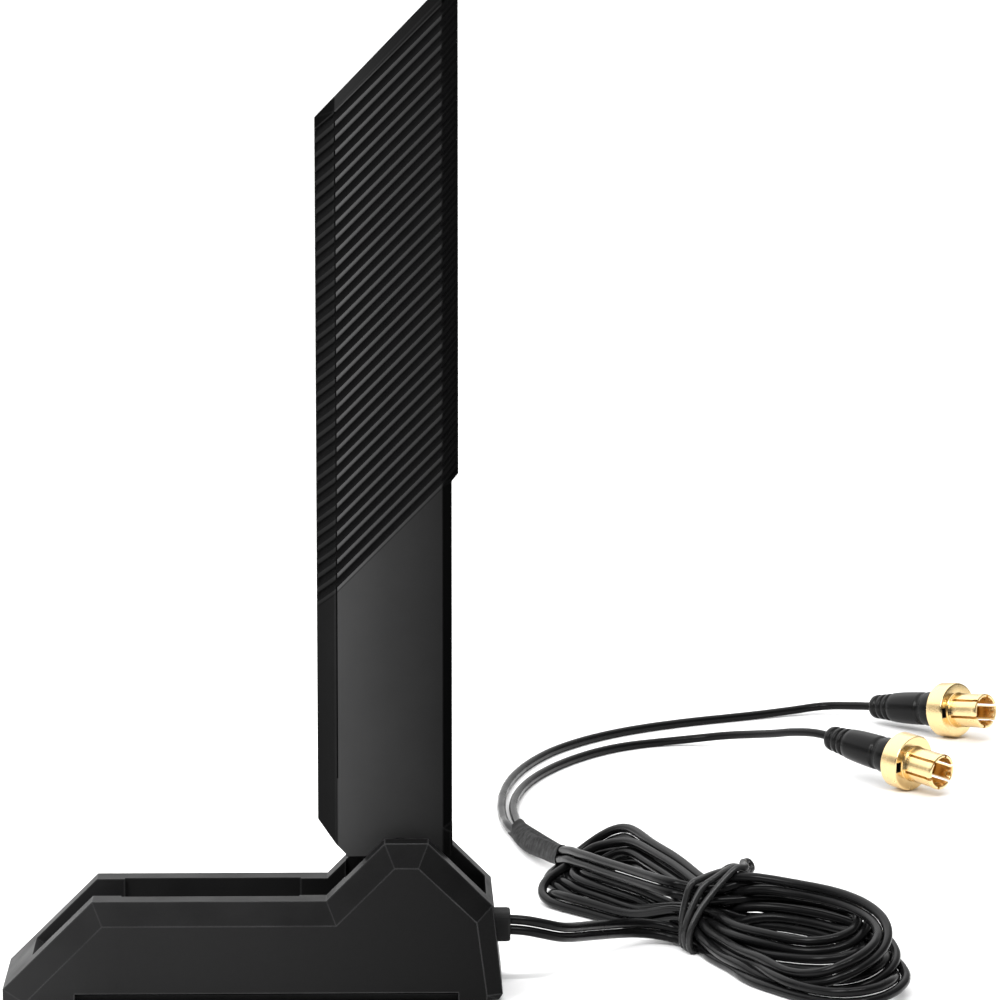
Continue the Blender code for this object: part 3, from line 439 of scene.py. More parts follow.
def rounded(corners, radius, steps=3):
    """A closed outline with each corner cut to a small curve."""
    out = []
    count = len(corners)
    for index, corner in enumerate(corners):
        here = Vector(corner)
        before = Vector(corners[index - 1]) - here
        after = Vector(corners[(index + 1) % count]) - here
        reach = min(radius, 0.45 * before.length, 0.45 * after.length)
        start = here + before.normalized() * reach
        end = here + after.normalized() * reach
        for step in range(steps + 1):
            share = step / steps
            out.append(tuple(start.lerp(here, share).lerp(here.lerp(end, share), share)))
    return out


def box_outline(half_width, half_height, radius, steps=6):
    """A rounded rectangle's points round (0, 0)."""
    corners = [(-half_width, -half_height), (half_width, -half_height), (half_width, half_height),
               (-half_width, half_height)]
    return rounded(corners, radius, steps)


def apply_modifiers(piece):
    """Turns a piece's modifiers into its own mesh."""
    graph = bpy.context.evaluated_depsgraph_get()
    mesh = bpy.data.meshes.new_from_object(piece.evaluated_get(graph), depsgraph=graph)
    piece.modifiers.clear()
    old = piece.data
    piece.data = mesh
    bpy.data.meshes.remove(old)


def cut_away(piece, *cutters):
    """Cuts the cutters out of a piece. The new faces keep the cutter's material."""
    for cutter in cutters:
        change = piece.modifiers.new("cut", "BOOLEAN")
        change.operation = "DIFFERENCE"
        change.solver = "EXACT"
        change.material_mode = "TRANSFER"
        change.object = cutter
        apply_modifiers(piece)
    for cutter in cutters:
        bpy.data.objects.remove(cutter)


def prism(name, outline, low, high, look=None):
    """A straight prism along Y: outline is (x, z)."""
    count = len(outline)
    points = [(x, low, z) for x, z in outline] + [(x, high, z) for x, z in outline]
    faces = [tuple(range(count)), tuple(range(2 * count - 1, count - 1, -1))]
    faces += ring_faces(2, count, False)
    return mesh_piece(name, points, faces, look)


def detailed_copy(node, name, bevel, look):
    """A copy of a CAD node with its flat faces joined up and its edges rounded off."""
    mesh = NODES[node].data.copy()
    mesh.materials.clear()
    shape = bmesh.new()
    shape.from_mesh(mesh)
    bmesh.ops.remove_doubles(shape, verts=shape.verts, dist=WELD * MM)
    bmesh.ops.dissolve_limit(
        shape, angle_limit=math.radians(FLAT_BELOW), verts=shape.verts, edges=shape.edges,
        use_dissolve_boundaries=False,
    )
    shape.to_mesh(mesh)
    shape.free()
    for attribute in ("custom_normal", "sharp_face", "sharp_edge"):
        if attribute in mesh.attributes:
            mesh.attributes.remove(mesh.attributes[attribute])
    piece = new_piece(name, mesh, look)
    edge = piece.modifiers.new("edge", "BEVEL")
    edge.width = bevel * MM
    edge.segments = 3
    edge.limit_method = "ANGLE"
    edge.angle_limit = math.radians(ROUND_ABOVE)
    edge.use_clamp_overlap = True
    edge.miter_outer = "MITER_ARC"
    apply_modifiers(piece)
    return piece


def shade(piece, smooth_below=38.0):
    """Soft shading over the rounded edges, with the large flat faces kept flat."""
    piece.data.shade_smooth()
    piece.data.set_sharp_from_angle(angle=math.radians(smooth_below))
    flat = piece.modifiers.new("flat", "WEIGHTED_NORMAL")
    flat.mode = "FACE_AREA"
    flat.weight = 100
    flat.keep_sharp = True
    apply_modifiers(piece)


# ------------------------------------------------------
# The cable: two thin coax run side by side from the gland, through a hank folded at the tie,
# into the heat-shrink sleeve, and part there into one lead for each connector
# ------------------------------------------------------
TAIL_ROUTE = [
    (47.4, 0.0, 12.2), (49.0, 0.0, 12.2), (53.0, 0.3, 11.6), (58.2, 3.6, 9.7), (63.4, 13.0, 7.5),
    (68.6, 22.5, 5.5), (72.4, 29.0, 4.0), (78.0, 33.0, 3.0),
]
SLEEVE_ROUTE = [(60.6, 80.0, 6.3), (58.3, 91.0, 5.0), (54.8, 107.0, 2.9), (52.4, 125.0, 1.95)]
OUT_OF_HANK = [(82.0, 28.6, 11.9), (77.8, 35.5, 11.5), (71.5, 50.2, 10.2), (66.0, 63.8, 8.8)]
LEAD_ROUTES = {
    1: [
        (51.0, 126.0, 1.7), (49.9, 138.0, 1.0), (49.7, 150.0, 1.0), (50.4, 163.0, 1.0),
        (52.4, 176.5, 1.0), (56.1, 190.5, 1.0), (61.6, 203.9, 1.0), (67.5, 213.4, 1.0),
        (75.4, 222.6, 1.0), (85.0, 230.4, 1.0), (96.0, 236.8, 1.0), (107.0, 242.0, 1.0),
        (117.5, 246.6, 1.2), (125.0, 249.0, 1.8),
    ],
    2: [
        (53.3, 126.0, 1.7), (52.5, 138.0, 1.0), (52.2, 147.5, 1.0), (52.8, 156.5, 1.0),
        (54.5, 167.0, 1.0), (57.5, 177.6, 1.0), (62.1, 188.4, 1.0), (67.4, 197.6, 1.0),
        (74.3, 206.2, 1.0), (81.8, 212.0, 1.0), (90.4, 215.2, 1.1), (99.0, 213.6, 2.4),
        (105.5, 208.6, 3.9), (110.6, 202.2, 5.4), (115.0, 195.6, 7.2),
    ],
}
TIE_CENTRE = np.array((87.4, 30.0))
# The hank's run through the tie, the way across it on the floor, and the way its pairs lean
HANK_AXIS = np.array((0.551, -0.834))
HANK_ACROSS = np.array((0.834, 0.551))
PAIR_LEANS_FROM = np.array((0.0, -0.98, 0.17))
SLOT_REACH = 3
FOLD_ANGLES = [40, 65, 90, 115, 138, 160, 180, 200, 222, 245, 270, 295, 320]
# Each fold beyond the tie: the slots (across, height) where it leaves and enters the tie, then
# its reach, its turn in degrees, its half width on the near and far side, and its two heights.
RIGHT_FOLDS = [
    ((-3.4, 2.2), (3.5, 2.4), 57.0, -4.4, 9.1, 19.5, 2.0, 4.5),
    ((1.2, 2.2), (3.6, 6.3), 50.7, 2.5, 9.9, 15.5, 2.0, 8.0),
    ((-1.1, 2.3), (1.2, 10.3), 41.0, 9.5, 8.6, 12.0, 3.6, 7.6),
    ((-3.6, 6.4), (3.4, 10.6), 51.0, -4.3, 8.3, 19.0, 3.4, 13.3),
    ((-1.3, 6.6), (-1.0, 10.6), 37.4, 11.8, 8.8, 14.0, 6.3, 11.0),
]
LEFT_FOLDS = [
    (50.0, -8.0, 5.6, 8.4, 5.8, 8.0),
    (55.0, -11.0, 6.5, 8.0, 3.4, 8.6),
    (51.0, -6.0, 11.0, 6.3, 2.1, 11.0),
    (58.0, -10.0, 9.5, 6.2, 2.4, 12.1),
]
# Over which part of its round, in degrees, a fold climbs: from, and over how many
CLIMB = {1: (110, 170), -1: (142, 138)}
# Settling: how far apart the strands are kept, how many points along one strand never meet,
# how many at each end are held, and how often and how far off meetings are looked for
ROUTE_STEP = 2.0
LEAD_STEP = 4.0
SETTLE_ROUNDS = 170
STRAND_GAP = 1.93
SAME_STRAND = 10
HELD_POINTS = 6
LOOK_EVERY = 8
LOOK_PAST = 2.5
PUSHES = 3
BEND_STIFFNESS = 0.35
LEAST_BEND = 7.2
TENSION = 0.03
PULL_TO_ROUTE = 0.02


def ease(share):
    share = min(1.0, max(0.0, share))
    return share * share * (3 - 2 * share)


def by_the_tie(along, across):
    """A place on the floor, by how far it lies along and across the hank's run from the tie."""
    return TIE_CENTRE + HANK_AXIS * along + HANK_ACROSS * across


def tie_slot(slot, along):
    across, height = slot
    return (*by_the_tie(along, across), height)


def teardrop(degrees, reach, near, far):
    """How far out and to the side a fold is that widens all the way to its end."""
    angle = math.radians(degrees)
    out = (1 - math.cos(angle)) / 2
    width = near if degrees <= 180 else far
    return reach * out, -width * math.sin(angle) * out ** 0.35


def round_ended(degrees, reach, near, far):
    """The same for a fold of two spreading runs with a half circle at its end."""
    angle = math.radians(degrees)
    radius = (near + far) / 2
    if 90 <= degrees <= 270:
        side = (far - near) / 2 - radius * math.sin(angle)
        return reach - radius - radius * math.cos(angle), side
    share = min(degrees, 360 - degrees) / 90
    width = near if degrees <= 180 else far
    return (reach - radius) * share, math.copysign(width, degrees - 180) * share ** 0.8


def fold(way, reach, turn, near, far, low, high):
    """One fold out from the tie and back: way is +1 beyond it, -1 on the sleeve's side."""
    cosine, sine = math.cos(math.radians(turn)), math.sin(math.radians(turn))
    shape = teardrop if way > 0 else round_ended
    points = []
    for degrees in FOLD_ANGLES:
        out, side = shape(degrees, reach, near, far)
        along = way * out
        spot = by_the_tie(along * cosine - side * sine, along * sine + side * cosine)
        height = low + (high - low) * ease((degrees - CLIMB[way][0]) / CLIMB[way][1])
        points.append((*spot, height))
    return points


def hank_route():
    """The middle of the pair from the gland to the sleeve, fold after fold through the tie."""
    points = list(TAIL_ROUTE)
    for index, (leaves, enters, *shape) in enumerate(RIGHT_FOLDS):
        points += [tie_slot(leaves, -SLOT_REACH), tie_slot(leaves, SLOT_REACH)]
        points += fold(1, *shape)
        points += [tie_slot(enters, SLOT_REACH), tie_slot(enters, -SLOT_REACH)]
        if index < len(LEFT_FOLDS):
            points += fold(-1, *LEFT_FOLDS[index])[::-1]
    return points + OUT_OF_HANK + SLEEVE_ROUTE


def evenly(points, step):
    """A smooth curve through the points, at even steps."""
    route = np.array(points, float)
    knots = np.concatenate([[0], np.cumsum(np.linalg.norm(np.diff(route, axis=0), axis=1) ** 0.5)])
    slopes = np.gradient(route, knots, axis=0)
    shares = np.arange(0, 1, 0.05)[:, None]
    dense = []
    for index in range(len(route) - 1):
        span = knots[index + 1] - knots[index]
        square, cube = shares ** 2, shares ** 3
        dense.append(
            (2 * cube - 3 * square + 1) * route[index]
            + (cube - 2 * square + shares) * span * slopes[index]
            + (3 * square - 2 * cube) * route[index + 1]
            + (cube - square) * span * slopes[index + 1]
        )
    dense = np.concatenate(dense + [route[-1:]])
    along = np.concatenate([[0], np.cumsum(np.linalg.norm(np.diff(dense, axis=0), axis=1))])
    count = max(2, round(along[-1] / step)) + 1
    places = np.linspace(0, along[-1], count)
    return np.stack([np.interp(places, along, dense[:, axis]) for axis in range(3)], axis=1)


def side_by_side(route):
    """The pair's two centrelines, leaning over one another as the hank's runs do."""
    lean = np.cross(np.gradient(route, axis=0), PAIR_LEANS_FROM)
    lean /= np.linalg.norm(lean, axis=1)[:, None]
    for _ in range(6):
        lean[1:-1] = (lean[:-2] + lean[1:-1] * 2 + lean[2:]) / 4
    lean /= np.linalg.norm(lean, axis=1)[:, None]
    return route + lean * PAIR_SPREAD, route - lean * PAIR_SPREAD


def ease_bends(strip, held):
    """Opens out, in place, whatever bends tighter than the least bend."""
    middle = (strip[:-2] + strip[2:]) / 2
    bend = middle - strip[1:-1]
    size = np.linalg.norm(bend, axis=1)
    allowed = ((strip[2:] - strip[:-2]) ** 2).sum(1) / 4 / (2 * LEAST_BEND)
    give = bend * (np.maximum(size - allowed, 0) / np.maximum(size, 1e-6))[:, None] * 0.5
    move = np.zeros_like(strip)
    move[1:-1] += give
    move[:-2] -= give / 2
    move[2:] -= give / 2
    strip += np.where(held[:, None], 0, move)


def settle(first, second):
    """Lets the strands bend evenly and push each other apart until they lie side by side."""
    count = len(first)
    points = np.concatenate([first, second])
    goal = points.copy()
    order = np.concatenate([np.arange(count), np.arange(count)])
    strand = np.repeat((0, 1), count)
    held = (order < HELD_POINTS) | (order >= count - HELD_POINTS)
    neighbours = (strand[:, None] == strand) & (abs(order[:, None] - order) < SAME_STRAND)
    may_meet = np.triu(~neighbours, 1)
    for turn in range(SETTLE_ROUNDS):
        if turn % LOOK_EVERY == 0:
            apart = ((points[:, None] - points) ** 2).sum(2)
            one, other = np.nonzero((apart < (STRAND_GAP + LOOK_PAST) ** 2) & may_meet)
        move = PULL_TO_ROUTE * (goal - points)
        for start in (0, count):
            strip = points[start:start + count]
            bend = np.zeros_like(strip)
            bend[1:-1] = (strip[:-2] + strip[2:]) / 2 - strip[1:-1]
            change = np.zeros_like(strip)
            change[2:-2] = (bend[1:-3] + bend[3:-1]) / 2 - bend[2:-2]
            move[start:start + count] += TENSION * bend - BEND_STIFFNESS * change
        points = points + np.where(held[:, None], 0, move)
        for _ in range(PUSHES):
            between = points[one] - points[other]
            distance = np.linalg.norm(between, axis=1)
            close = distance < STRAND_GAP
            reach = np.maximum(distance[close], 1e-3)[:, None]
            push = between[close] / reach * (STRAND_GAP - reach) * 0.5
            total = np.zeros_like(points)
            pushes = np.zeros(len(points))
            np.add.at(total, one[close], push)
            np.add.at(total, other[close], -push)
            np.add.at(pushes, one[close], 1)
            np.add.at(pushes, other[close], 1)
            total /= np.maximum(pushes, 1)[:, None] ** 0.7
            points = points + np.where(held[:, None], 0, total)
            points[:, 2] = np.maximum(points[:, 2], COAX_RADIUS + 0.02)
            ease_bends(points[:count], held[:count])
            ease_bends(points[count:], held[count:])
    return points[:count], points[count:]


def connector_place(number):
    """The frame of a connector: its origin on the grip ring's rear face, its Z forward."""
    spec = CONNECTORS[number]
    heading, rise = math.radians(spec["heading"]), math.radians(spec["rise"])
    forward = Vector(
        (math.cos(rise) * math.cos(heading), math.cos(rise) * math.sin(heading), math.sin(rise))
    )
    rear = Vector(spec["middle"]) - forward * GRIP_LENGTH / 2
    turn = Vector((0, 0, 1)).rotation_difference(forward).to_matrix().to_4x4()
    return Matrix.Translation(rear) @ turn, rear, forward


def lead_points(number):
    """A lead from the sleeve's mouth into its boot."""
    rear, forward = connector_place(number)[1:]
    ends = [rear - forward * (BOOT_LENGTH + ahead) for ahead in (4.5, 0.3, -5.0)]
    return LEAD_ROUTES[number] + [tuple(end) for end in ends]


def cord_curve(name, points, radius, look, keep=2):
    """A round cord as one open smooth spline through every keep-th point, in mm."""
    picked = list(points[:-1:keep]) + [points[-1]]
    curve = bpy.data.curves.new(name, "CURVE")
    curve.dimensions = "3D"
    curve.bevel_depth = radius * MM
    curve.bevel_resolution = 4
    curve.resolution_u = 5
    curve.use_fill_caps = True
    spline = curve.splines.new("BEZIER")
    spline.bezier_points.add(len(picked) - 1)
    for knot, point in zip(spline.bezier_points, picked):
        knot.co = Vector(point) * MM
        knot.handle_left_type = knot.handle_right_type = "AUTO"
    return new_piece(name, curve, look)


strand_2, strand_1 = settle(*side_by_side(evenly(hank_route(), ROUTE_STEP)))
cords = {}
for number, strand in ((1, strand_1), (2, strand_2)):
    lead = evenly([tuple(strand[-3])] + lead_points(number), LEAD_STEP)
    whole = np.concatenate([strand[:-2], lead[1:]])
    cords[number] = (cord_curve(f"coax_{number}", whole, COAX_RADIUS, "jacket"), whole)


# ------------------------------------------------------
# Heat-shrink sleeve: it follows the pair's two strands and is shrunk into the dip between them
# ------------------------------------------------------
SLEEVE_WALL = 0.16
SLEEVE_LIP = 0.06
SLEEVE_RIPPLE = 0.03
SLEEVE_TURN_IN = 0.08
SLEEVE_DIP = 0.07
SLEEVE_DIP_WIDTH = 0.6
SLEEVE_ROUNDNESS = 0.62
SLEEVE_SIDES = 40


def sleeve_ring(section, wall, dip, lowest):
    """The points round one section of the pair, at wall outside its strands."""
    middle, side, rise, spread = section
    ring = []
    for step in range(SLEEVE_SIDES):
        angle = 2 * math.pi * step / SLEEVE_SIDES
        across = (spread + COAX_RADIUS + wall) * math.cos(angle)
        pinch = 1.0 - dip * math.exp(-(across / SLEEVE_DIP_WIDTH) ** 2)
        swell = math.copysign(abs(math.sin(angle)) ** SLEEVE_ROUNDNESS, math.sin(angle))
        spot = middle + side * across + rise * ((COAX_RADIUS + wall) * pinch * swell)
        ring.append((spot[0], spot[1], max(lowest, spot[2])))
    return ring


def make_sleeve():
    first = int(np.argmin(np.linalg.norm(strand_1 - np.array(SLEEVE_ROUTE[0]), axis=1)))
    last = len(strand_1) - 1
    sections = []
    for index in range(first, last + 1):
        middle = (strand_1[index] + strand_2[index]) / 2
        side = strand_2[index] - strand_1[index]
        spread = np.linalg.norm(side) / 2
        side /= np.linalg.norm(side)
        ahead = strand_1[min(index + 1, last)] - strand_1[index - 1]
        rise = np.cross(side, ahead)
        rise /= np.linalg.norm(rise)
        sections.append((middle, side, rise, spread))
    points = []
    for index, section in enumerate(sections):
        at_mouth = index in (0, len(sections) - 1)
        ripple = SLEEVE_RIPPLE * math.sin(index * 2.1) * math.sin(index * 0.7)
        wall = SLEEVE_WALL + (SLEEVE_LIP if at_mouth else 0.0) + ripple
        points += sleeve_ring(section, wall, SLEEVE_DIP, 0.05)
    # The mouths turn in to the strands
    for section in (sections[-1], sections[0]):
        points += sleeve_ring(section, -SLEEVE_TURN_IN, 0.0, 0.1)
    faces = ring_faces(len(sections) + 2, SLEEVE_SIDES, True)
    return mesh_piece("heat_shrink_sleeve", points, faces, "shrink")


sleeve = make_sleeve()

# ------------------------------------------------------
# Tie: a plastic-covered wire wound three times round the waist and twisted into an eye
# ------------------------------------------------------
TIE_WIRE = 0.68
TIE_TURNS = 3
TIE_PITCH = 2.0
TIE_SHIFT = 1.6
TIE_ARM_END = (95.6, 36.0, 14.6)
TIE_EYE_RADIUS = 0.95
TIE_ARM_STEPS = 9
# The strands that count at a place along the waist: how near to it, and how far across
WAIST_REACH = 2.6
WAIST_HALF_WIDTH = 12


def waist_hull(along):
    """The bundle's points (across, height) at a place along the waist, and their middle."""
    every = np.concatenate([strand_1, strand_2])
    offset = every[:, :2] - TIE_CENTRE
    near = abs(offset @ HANK_AXIS - along) < WAIST_REACH
    near &= abs(offset @ HANK_ACROSS) < WAIST_HALF_WIDTH
    section = np.stack([offset[near] @ HANK_ACROSS, every[near][:, 2]], axis=1)
    return section, (section.min(axis=0) + section.max(axis=0)) / 2


def tie_route():
    """The wire's turns round the waist, each as far out as the strands there push it."""
    points = []
    steps = 26
    total = steps * TIE_TURNS
    for step in range(total + 1):
        along = (step / total - 0.5) * TIE_PITCH * (TIE_TURNS - 0.2) + TIE_SHIFT
        section, middle = waist_hull(along)
        angle = math.radians(60) - 2 * math.pi * step / steps
        reach = []
        for nudge in (-0.12, 0.0, 0.12):
            way = np.array((math.cos(angle + nudge), math.sin(angle + nudge)))
            reach.append(((section - middle) @ way).max() + COAX_RADIUS + TIE_WIRE * 0.85)
        lean = (reach[2] - reach[0]) / 0.24
        heading = np.array((math.cos(angle), math.sin(angle)))
        slope = np.array((-math.sin(angle), math.cos(angle)))
        spot = middle + heading * reach[1] + slope * lean
        points.append((*by_the_tie(along, spot[0]), max(TIE_WIRE + 0.02, spot[1])))
    return points


def make_tie():
    """The wound wire, and its two ends drawn together, half twisted, into a small eye."""
    wound = [Vector(point) for point in evenly(tie_route()[::2], 1.4)]
    start, end = wound[0], wound[-1]
    root = (start + end) / 2
    arm = Vector(TIE_ARM_END) - root
    ahead = arm.normalized()
    side = ahead.cross(Vector(PAIR_LEANS_FROM)).normalized()
    lift = side.cross(ahead).normalized()
    ends = {1: [], -1: []}
    for step in range(1, TIE_ARM_STEPS + 1):
        share = step / TIE_ARM_STEPS
        turn = math.pi * 1.1 * share
        gather = ease(share * 1.6)
        base = root + arm * share + Vector((0, 0, 1)) * 0.7 * math.sin(math.pi * share)
        swing = (side * math.cos(turn) + lift * math.sin(turn)) * TIE_WIRE * 1.05
        for way, first in ((1, end), (-1, start)):
            ends[way].append(base + swing * way * gather + (first - root) * (1 - gather))
    last, other = ends[1][-1], ends[-1][-1]
    across = (last - other).normalized()
    hub = (last + other) / 2 + ahead * TIE_EYE_RADIUS * 1.3
    eye = []
    for step in range(9):
        angle = math.radians(150 - 300 * step / 8)
        eye.append(hub + (ahead * math.cos(angle) + across * math.sin(angle)) * TIE_EYE_RADIUS)
    route = [*wound, *ends[1], *eye, *ends[-1][::-1]]
    return cord_curve("twist_tie", [tuple(point) for point in route], TIE_WIRE, "tie", keep=1)


tie = make_tie()


# ------------------------------------------------------
# Gland: an oval rubber mouth that the pair comes out of
# ------------------------------------------------------
def make_gland():
    outer = box_outline(*GLAND_HALF, 1.6)
    hole = box_outline(*GLAND_HOLE_HALF, 1.5)
    sides = len(outer)

    def ring(outline, x, scale=1.0):
        return [(x, y * scale, EXIT_HEIGHT + z * scale) for y, z in outline]

    rings = [
        ring(outer, GLAND_BACK), ring(outer, GLAND_FACE - 0.7),
        ring(outer, GLAND_FACE - 0.25, 0.975), ring(outer, GLAND_FACE, 0.90),
        ring(hole, GLAND_FACE, 1.06), ring(hole, GLAND_FACE - 0.25), ring(hole, GLAND_HOLE_FLOOR),
    ]
    points = [point for one in rings for point in one]
    faces = ring_faces(len(rings), sides, False)
    faces += [tuple(range(sides)), tuple(range((len(rings) - 1) * sides, len(rings) * sides))]
    return mesh_piece("gland_mouth", points, faces, "rubber")


gland = make_gland()


# ------------------------------------------------------
# Connectors: moulded boots and gold push-on shells with sprung fingers
# ------------------------------------------------------
def boot_profile():
    """(radius, height) from the cable's end of the boot to its seat on the grip ring."""
    end = -BOOT_LENGTH
    outside = [
        (1.9, 0.0), (2.3, 0.12), (2.55, 0.4), (2.72, 0.9), (2.8, 1.55), (2.7, 1.75), (2.45, 1.88),
        (2.4, 2.1), (2.45, 2.32), (2.75, 2.48), (2.88, 2.65), (2.95, 3.35), (2.86, 3.55),
        (2.62, 3.68), (2.58, 3.9), (2.62, 4.12), (2.95, 4.28), (3.08, 4.45), (3.14, 5.05),
        (3.05, 5.25), (2.82, 5.38), (2.8, 5.6), (2.86, 5.82), (3.2, 5.98), (3.34, 6.2), (3.46, 7.2),
        (3.62, 9.0), (3.74, 11.6), (3.8, 14.4), (3.78, 14.9), (3.6, 15.1), (3.5, 15.35),
        (3.5, 15.95), (3.6, 16.2), (3.86, 16.4), (3.95, 16.7), (3.97, 19.2), (3.9, 19.7),
        (3.7, 20.05), (3.4, 20.2),
    ]
    inside = [(2.5, 20.2), (2.5, 11.0), (0.9, 10.4), (0.9, 0.3), (1.1, 0.0)]
    return [(radius, end + height) for radius, height in outside + inside]


def make_shell(number, place):
    """The gold shell: grip ring, crimp stem and six sprung fingers with beaded tips.

    Two small pockets are sunk into the grip ring's front face, their walls painted black as shade.
    """
    profile = [
        (0.15, SOCKET_FLOOR), (BARREL_BORE - 0.35, SOCKET_FLOOR),
        (BARREL_BORE, SOCKET_FLOOR + 0.35), (BARREL_BORE, BARREL_TIP - 1.5),
        (BARREL_BORE - 0.12, BARREL_TIP - 0.7), (BARREL_BORE + 0.05, BARREL_TIP - 0.12),
        (BARREL_BORE + 0.2, BARREL_TIP), (BARREL_RADIUS - 0.25, BARREL_TIP),
        (BARREL_RADIUS - 0.06, BARREL_TIP - 0.14), (BARREL_RADIUS, BARREL_TIP - 0.45),
        (BARREL_RADIUS, BARREL_TIP - 1.0), (BARREL_RADIUS - 0.13, BARREL_TIP - 1.5),
        (BARREL_RADIUS - 0.13, GRIP_LENGTH + 0.9), (BARREL_RADIUS, GRIP_LENGTH + 0.55),
        (BARREL_RADIUS, GRIP_LENGTH + 0.1), (BARREL_RADIUS + 0.1, GRIP_LENGTH),
        (GRIP_RADIUS - 0.45, GRIP_LENGTH), (GRIP_RADIUS - 0.14, GRIP_LENGTH - 0.12),
        (GRIP_RADIUS, GRIP_LENGTH - 0.42), (GRIP_RADIUS, 0.55), (GRIP_RADIUS - 0.16, 0.18),
        (GRIP_RADIUS - 0.6, 0.0), (CRIMP_RADIUS + 0.1, 0.0), (CRIMP_RADIUS, -0.1),
        (CRIMP_RADIUS, -CRIMP_LENGTH), (0.15, -CRIMP_LENGTH),
    ]
    shell = turned(f"plug_{number}_shell", profile, place, "gold", sides=72)
    cutters = []
    half, low, high = SLIT_WIDTH / 2, GRIP_LENGTH + 0.8, BARREL_TIP + 2
    outline = rounded([(-half, low), (half, low), (half, high), (-half, high)], 0.3)
    past = 2 * BARREL_RADIUS
    for index in range(FINGER_COUNT // 2):
        spin = Matrix.Rotation(math.radians(FIRST_SLIT + index * 360 / FINGER_COUNT), 4, "Z")
        slit = prism(f"slit_{number}_{index}", outline, -past, past, "gold")
        slit.data.transform(scaled(place @ spin))
        cutters.append(slit)
    half, low, high = NOTCH_WIDTH / 2, GRIP_LENGTH - NOTCH_DEPTH, GRIP_LENGTH + 1.0
    outline = [(-half, low), (half, low), (half, high), (-half, high)]
    near, far = BARREL_RADIUS + 0.3, GRIP_RADIUS - 0.45
    for index, side in enumerate((-1, 1), start=1):
        spin = Matrix.Rotation(math.radians(45 + side * 90), 4, "Z")
        # The pocket walls take the black rubber look as painted shade
        notch = prism(f"notch_{number}_{index}", outline, near, far, "rubber")
        notch.data.transform(scaled(place @ spin))
        cutters.append(notch)
    cut_away(shell, *cutters)
    shade(shell, 30.0)
    return shell


def scaled(place):
    """A placing matrix in mm, for a mesh that is already in metres."""
    return Matrix.Translation(place.translation * MM) @ place.to_3x3().to_4x4()


boots, shells = {}, {}
for number in (1, 2):
    place = connector_place(number)[0]
    boots[number] = turned(f"boot_{number}", boot_profile(), place, "boot", 48, 50.0)
    shells[number] = make_shell(number, place)

# ------------------------------------------------------
# Base housing
# ------------------------------------------------------
housing = detailed_copy("base_housing", "housing", 0.28, "housing")
shade(housing)


# ------------------------------------------------------
# Blade shells: satin faces, with slanting ribs over the upper part of all three facets
# ------------------------------------------------------
def rib_cutter(side):
    """Every rib groove of one shell as bent prisms that follow its facets, side -1 in front."""
    seam = SHELL_GAP + RIB_EDGE_MARGIN
    rise = BLADE_HALF_THICKNESS - SHELL_GAP

    def facet(edge, face, sign, depth):
        """A facet's line moved in by depth, from the seam to the flat face's level."""
        run = face - edge
        inset = depth * math.hypot(run, rise) / rise * sign
        level = BLADE_HALF_THICKNESS - depth
        return [
            (edge + inset + run / rise * (seam - SHELL_GAP), seam),
            (edge + inset + run / rise * (level - SHELL_GAP), level),
        ]

    floor = facet(BLADE_LEFT, FACE_LEFT, 1, RIB_DEPTH)
    floor += facet(BLADE_RIGHT, FACE_RIGHT, -1, RIB_DEPTH)[::-1]
    above = facet(BLADE_RIGHT, FACE_RIGHT, -1, -RIB_CUT_PAST)
    above += facet(BLADE_LEFT, FACE_LEFT, 1, -RIB_CUT_PAST)[::-1]
    outline = [(x, y, 0.0) for x, y in floor] + [(x, y, 1.0) for x, y in above]
    sides = len(outline)
    points, faces = [], []
    half = RIB_PITCH * RIB_GROOVE_SHARE / 2
    for rib in range(RIB_COUNT):
        middle = RIB_START + RIB_PITCH * (rib + 1 - RIB_GROOVE_SHARE / 2)
        first = len(points)
        for way, slope in ((-1, RIB_CREST_SLOPE), (1, RIB_FOOT_SLOPE)):
            for x, y, outside in outline:
                lean = slope * outside * (RIB_DEPTH + RIB_CUT_PAST) / RIB_DEPTH
                points.append((x, side * y, x + middle + way * (half + lean)))
        after = first + sides
        faces += [tuple(range(first, after)), tuple(range(after + sides - 1, after - 1, -1))]
        faces += [tuple(first + corner for corner in face) for face in ring_faces(2, sides, False)]
    # The cut groove faces take the groove look, which is painted shade
    cutter = mesh_piece("ribs", points, faces, "groove")
    # The grooves end just below the bevel along the slanting top
    top = FACE_TOP_AT_LEFT - RIB_EDGE_MARGIN
    left, right = BLADE_LEFT - 3, BLADE_RIGHT + 3
    limit = prism(
        "rib_limit",
        [(left, RIB_LOWEST), (right, RIB_LOWEST), (right, top + (right - FACE_LEFT) * TOP_SLOPE),
         (left, top + (left - FACE_LEFT) * TOP_SLOPE)],
        -12.0, 12.0, "groove",
    )
    keep = cutter.modifiers.new("limit", "BOOLEAN")
    keep.operation = "INTERSECT"
    keep.solver = "EXACT"
    keep.object = limit
    apply_modifiers(cutter)
    bpy.data.objects.remove(limit)
    return cutter


def crease_cutter(side):
    """The fine line down the flat face beside its left crease, its faces painted near black as
    shade.
    """
    low, high = CREASE_X
    floor, above = side * (BLADE_HALF_THICKNESS - CREASE_DEPTH), side * (BLADE_HALF_THICKNESS + 1)
    top = FACE_TOP_AT_LEFT - RIB_EDGE_MARGIN + (low - FACE_LEFT) * TOP_SLOPE
    outline = [(low, CREASE_FOOT), (high, CREASE_FOOT), (high, top), (low, top)]
    return prism("crease", outline, min(floor, above), max(floor, above), "groove")


def make_blade_shell(node, name, side):
    shell = detailed_copy(node, name, 0.26, "blade")
    cut_away(shell, rib_cutter(side), crease_cutter(side))
    shade(shell, 32.0)
    return shell


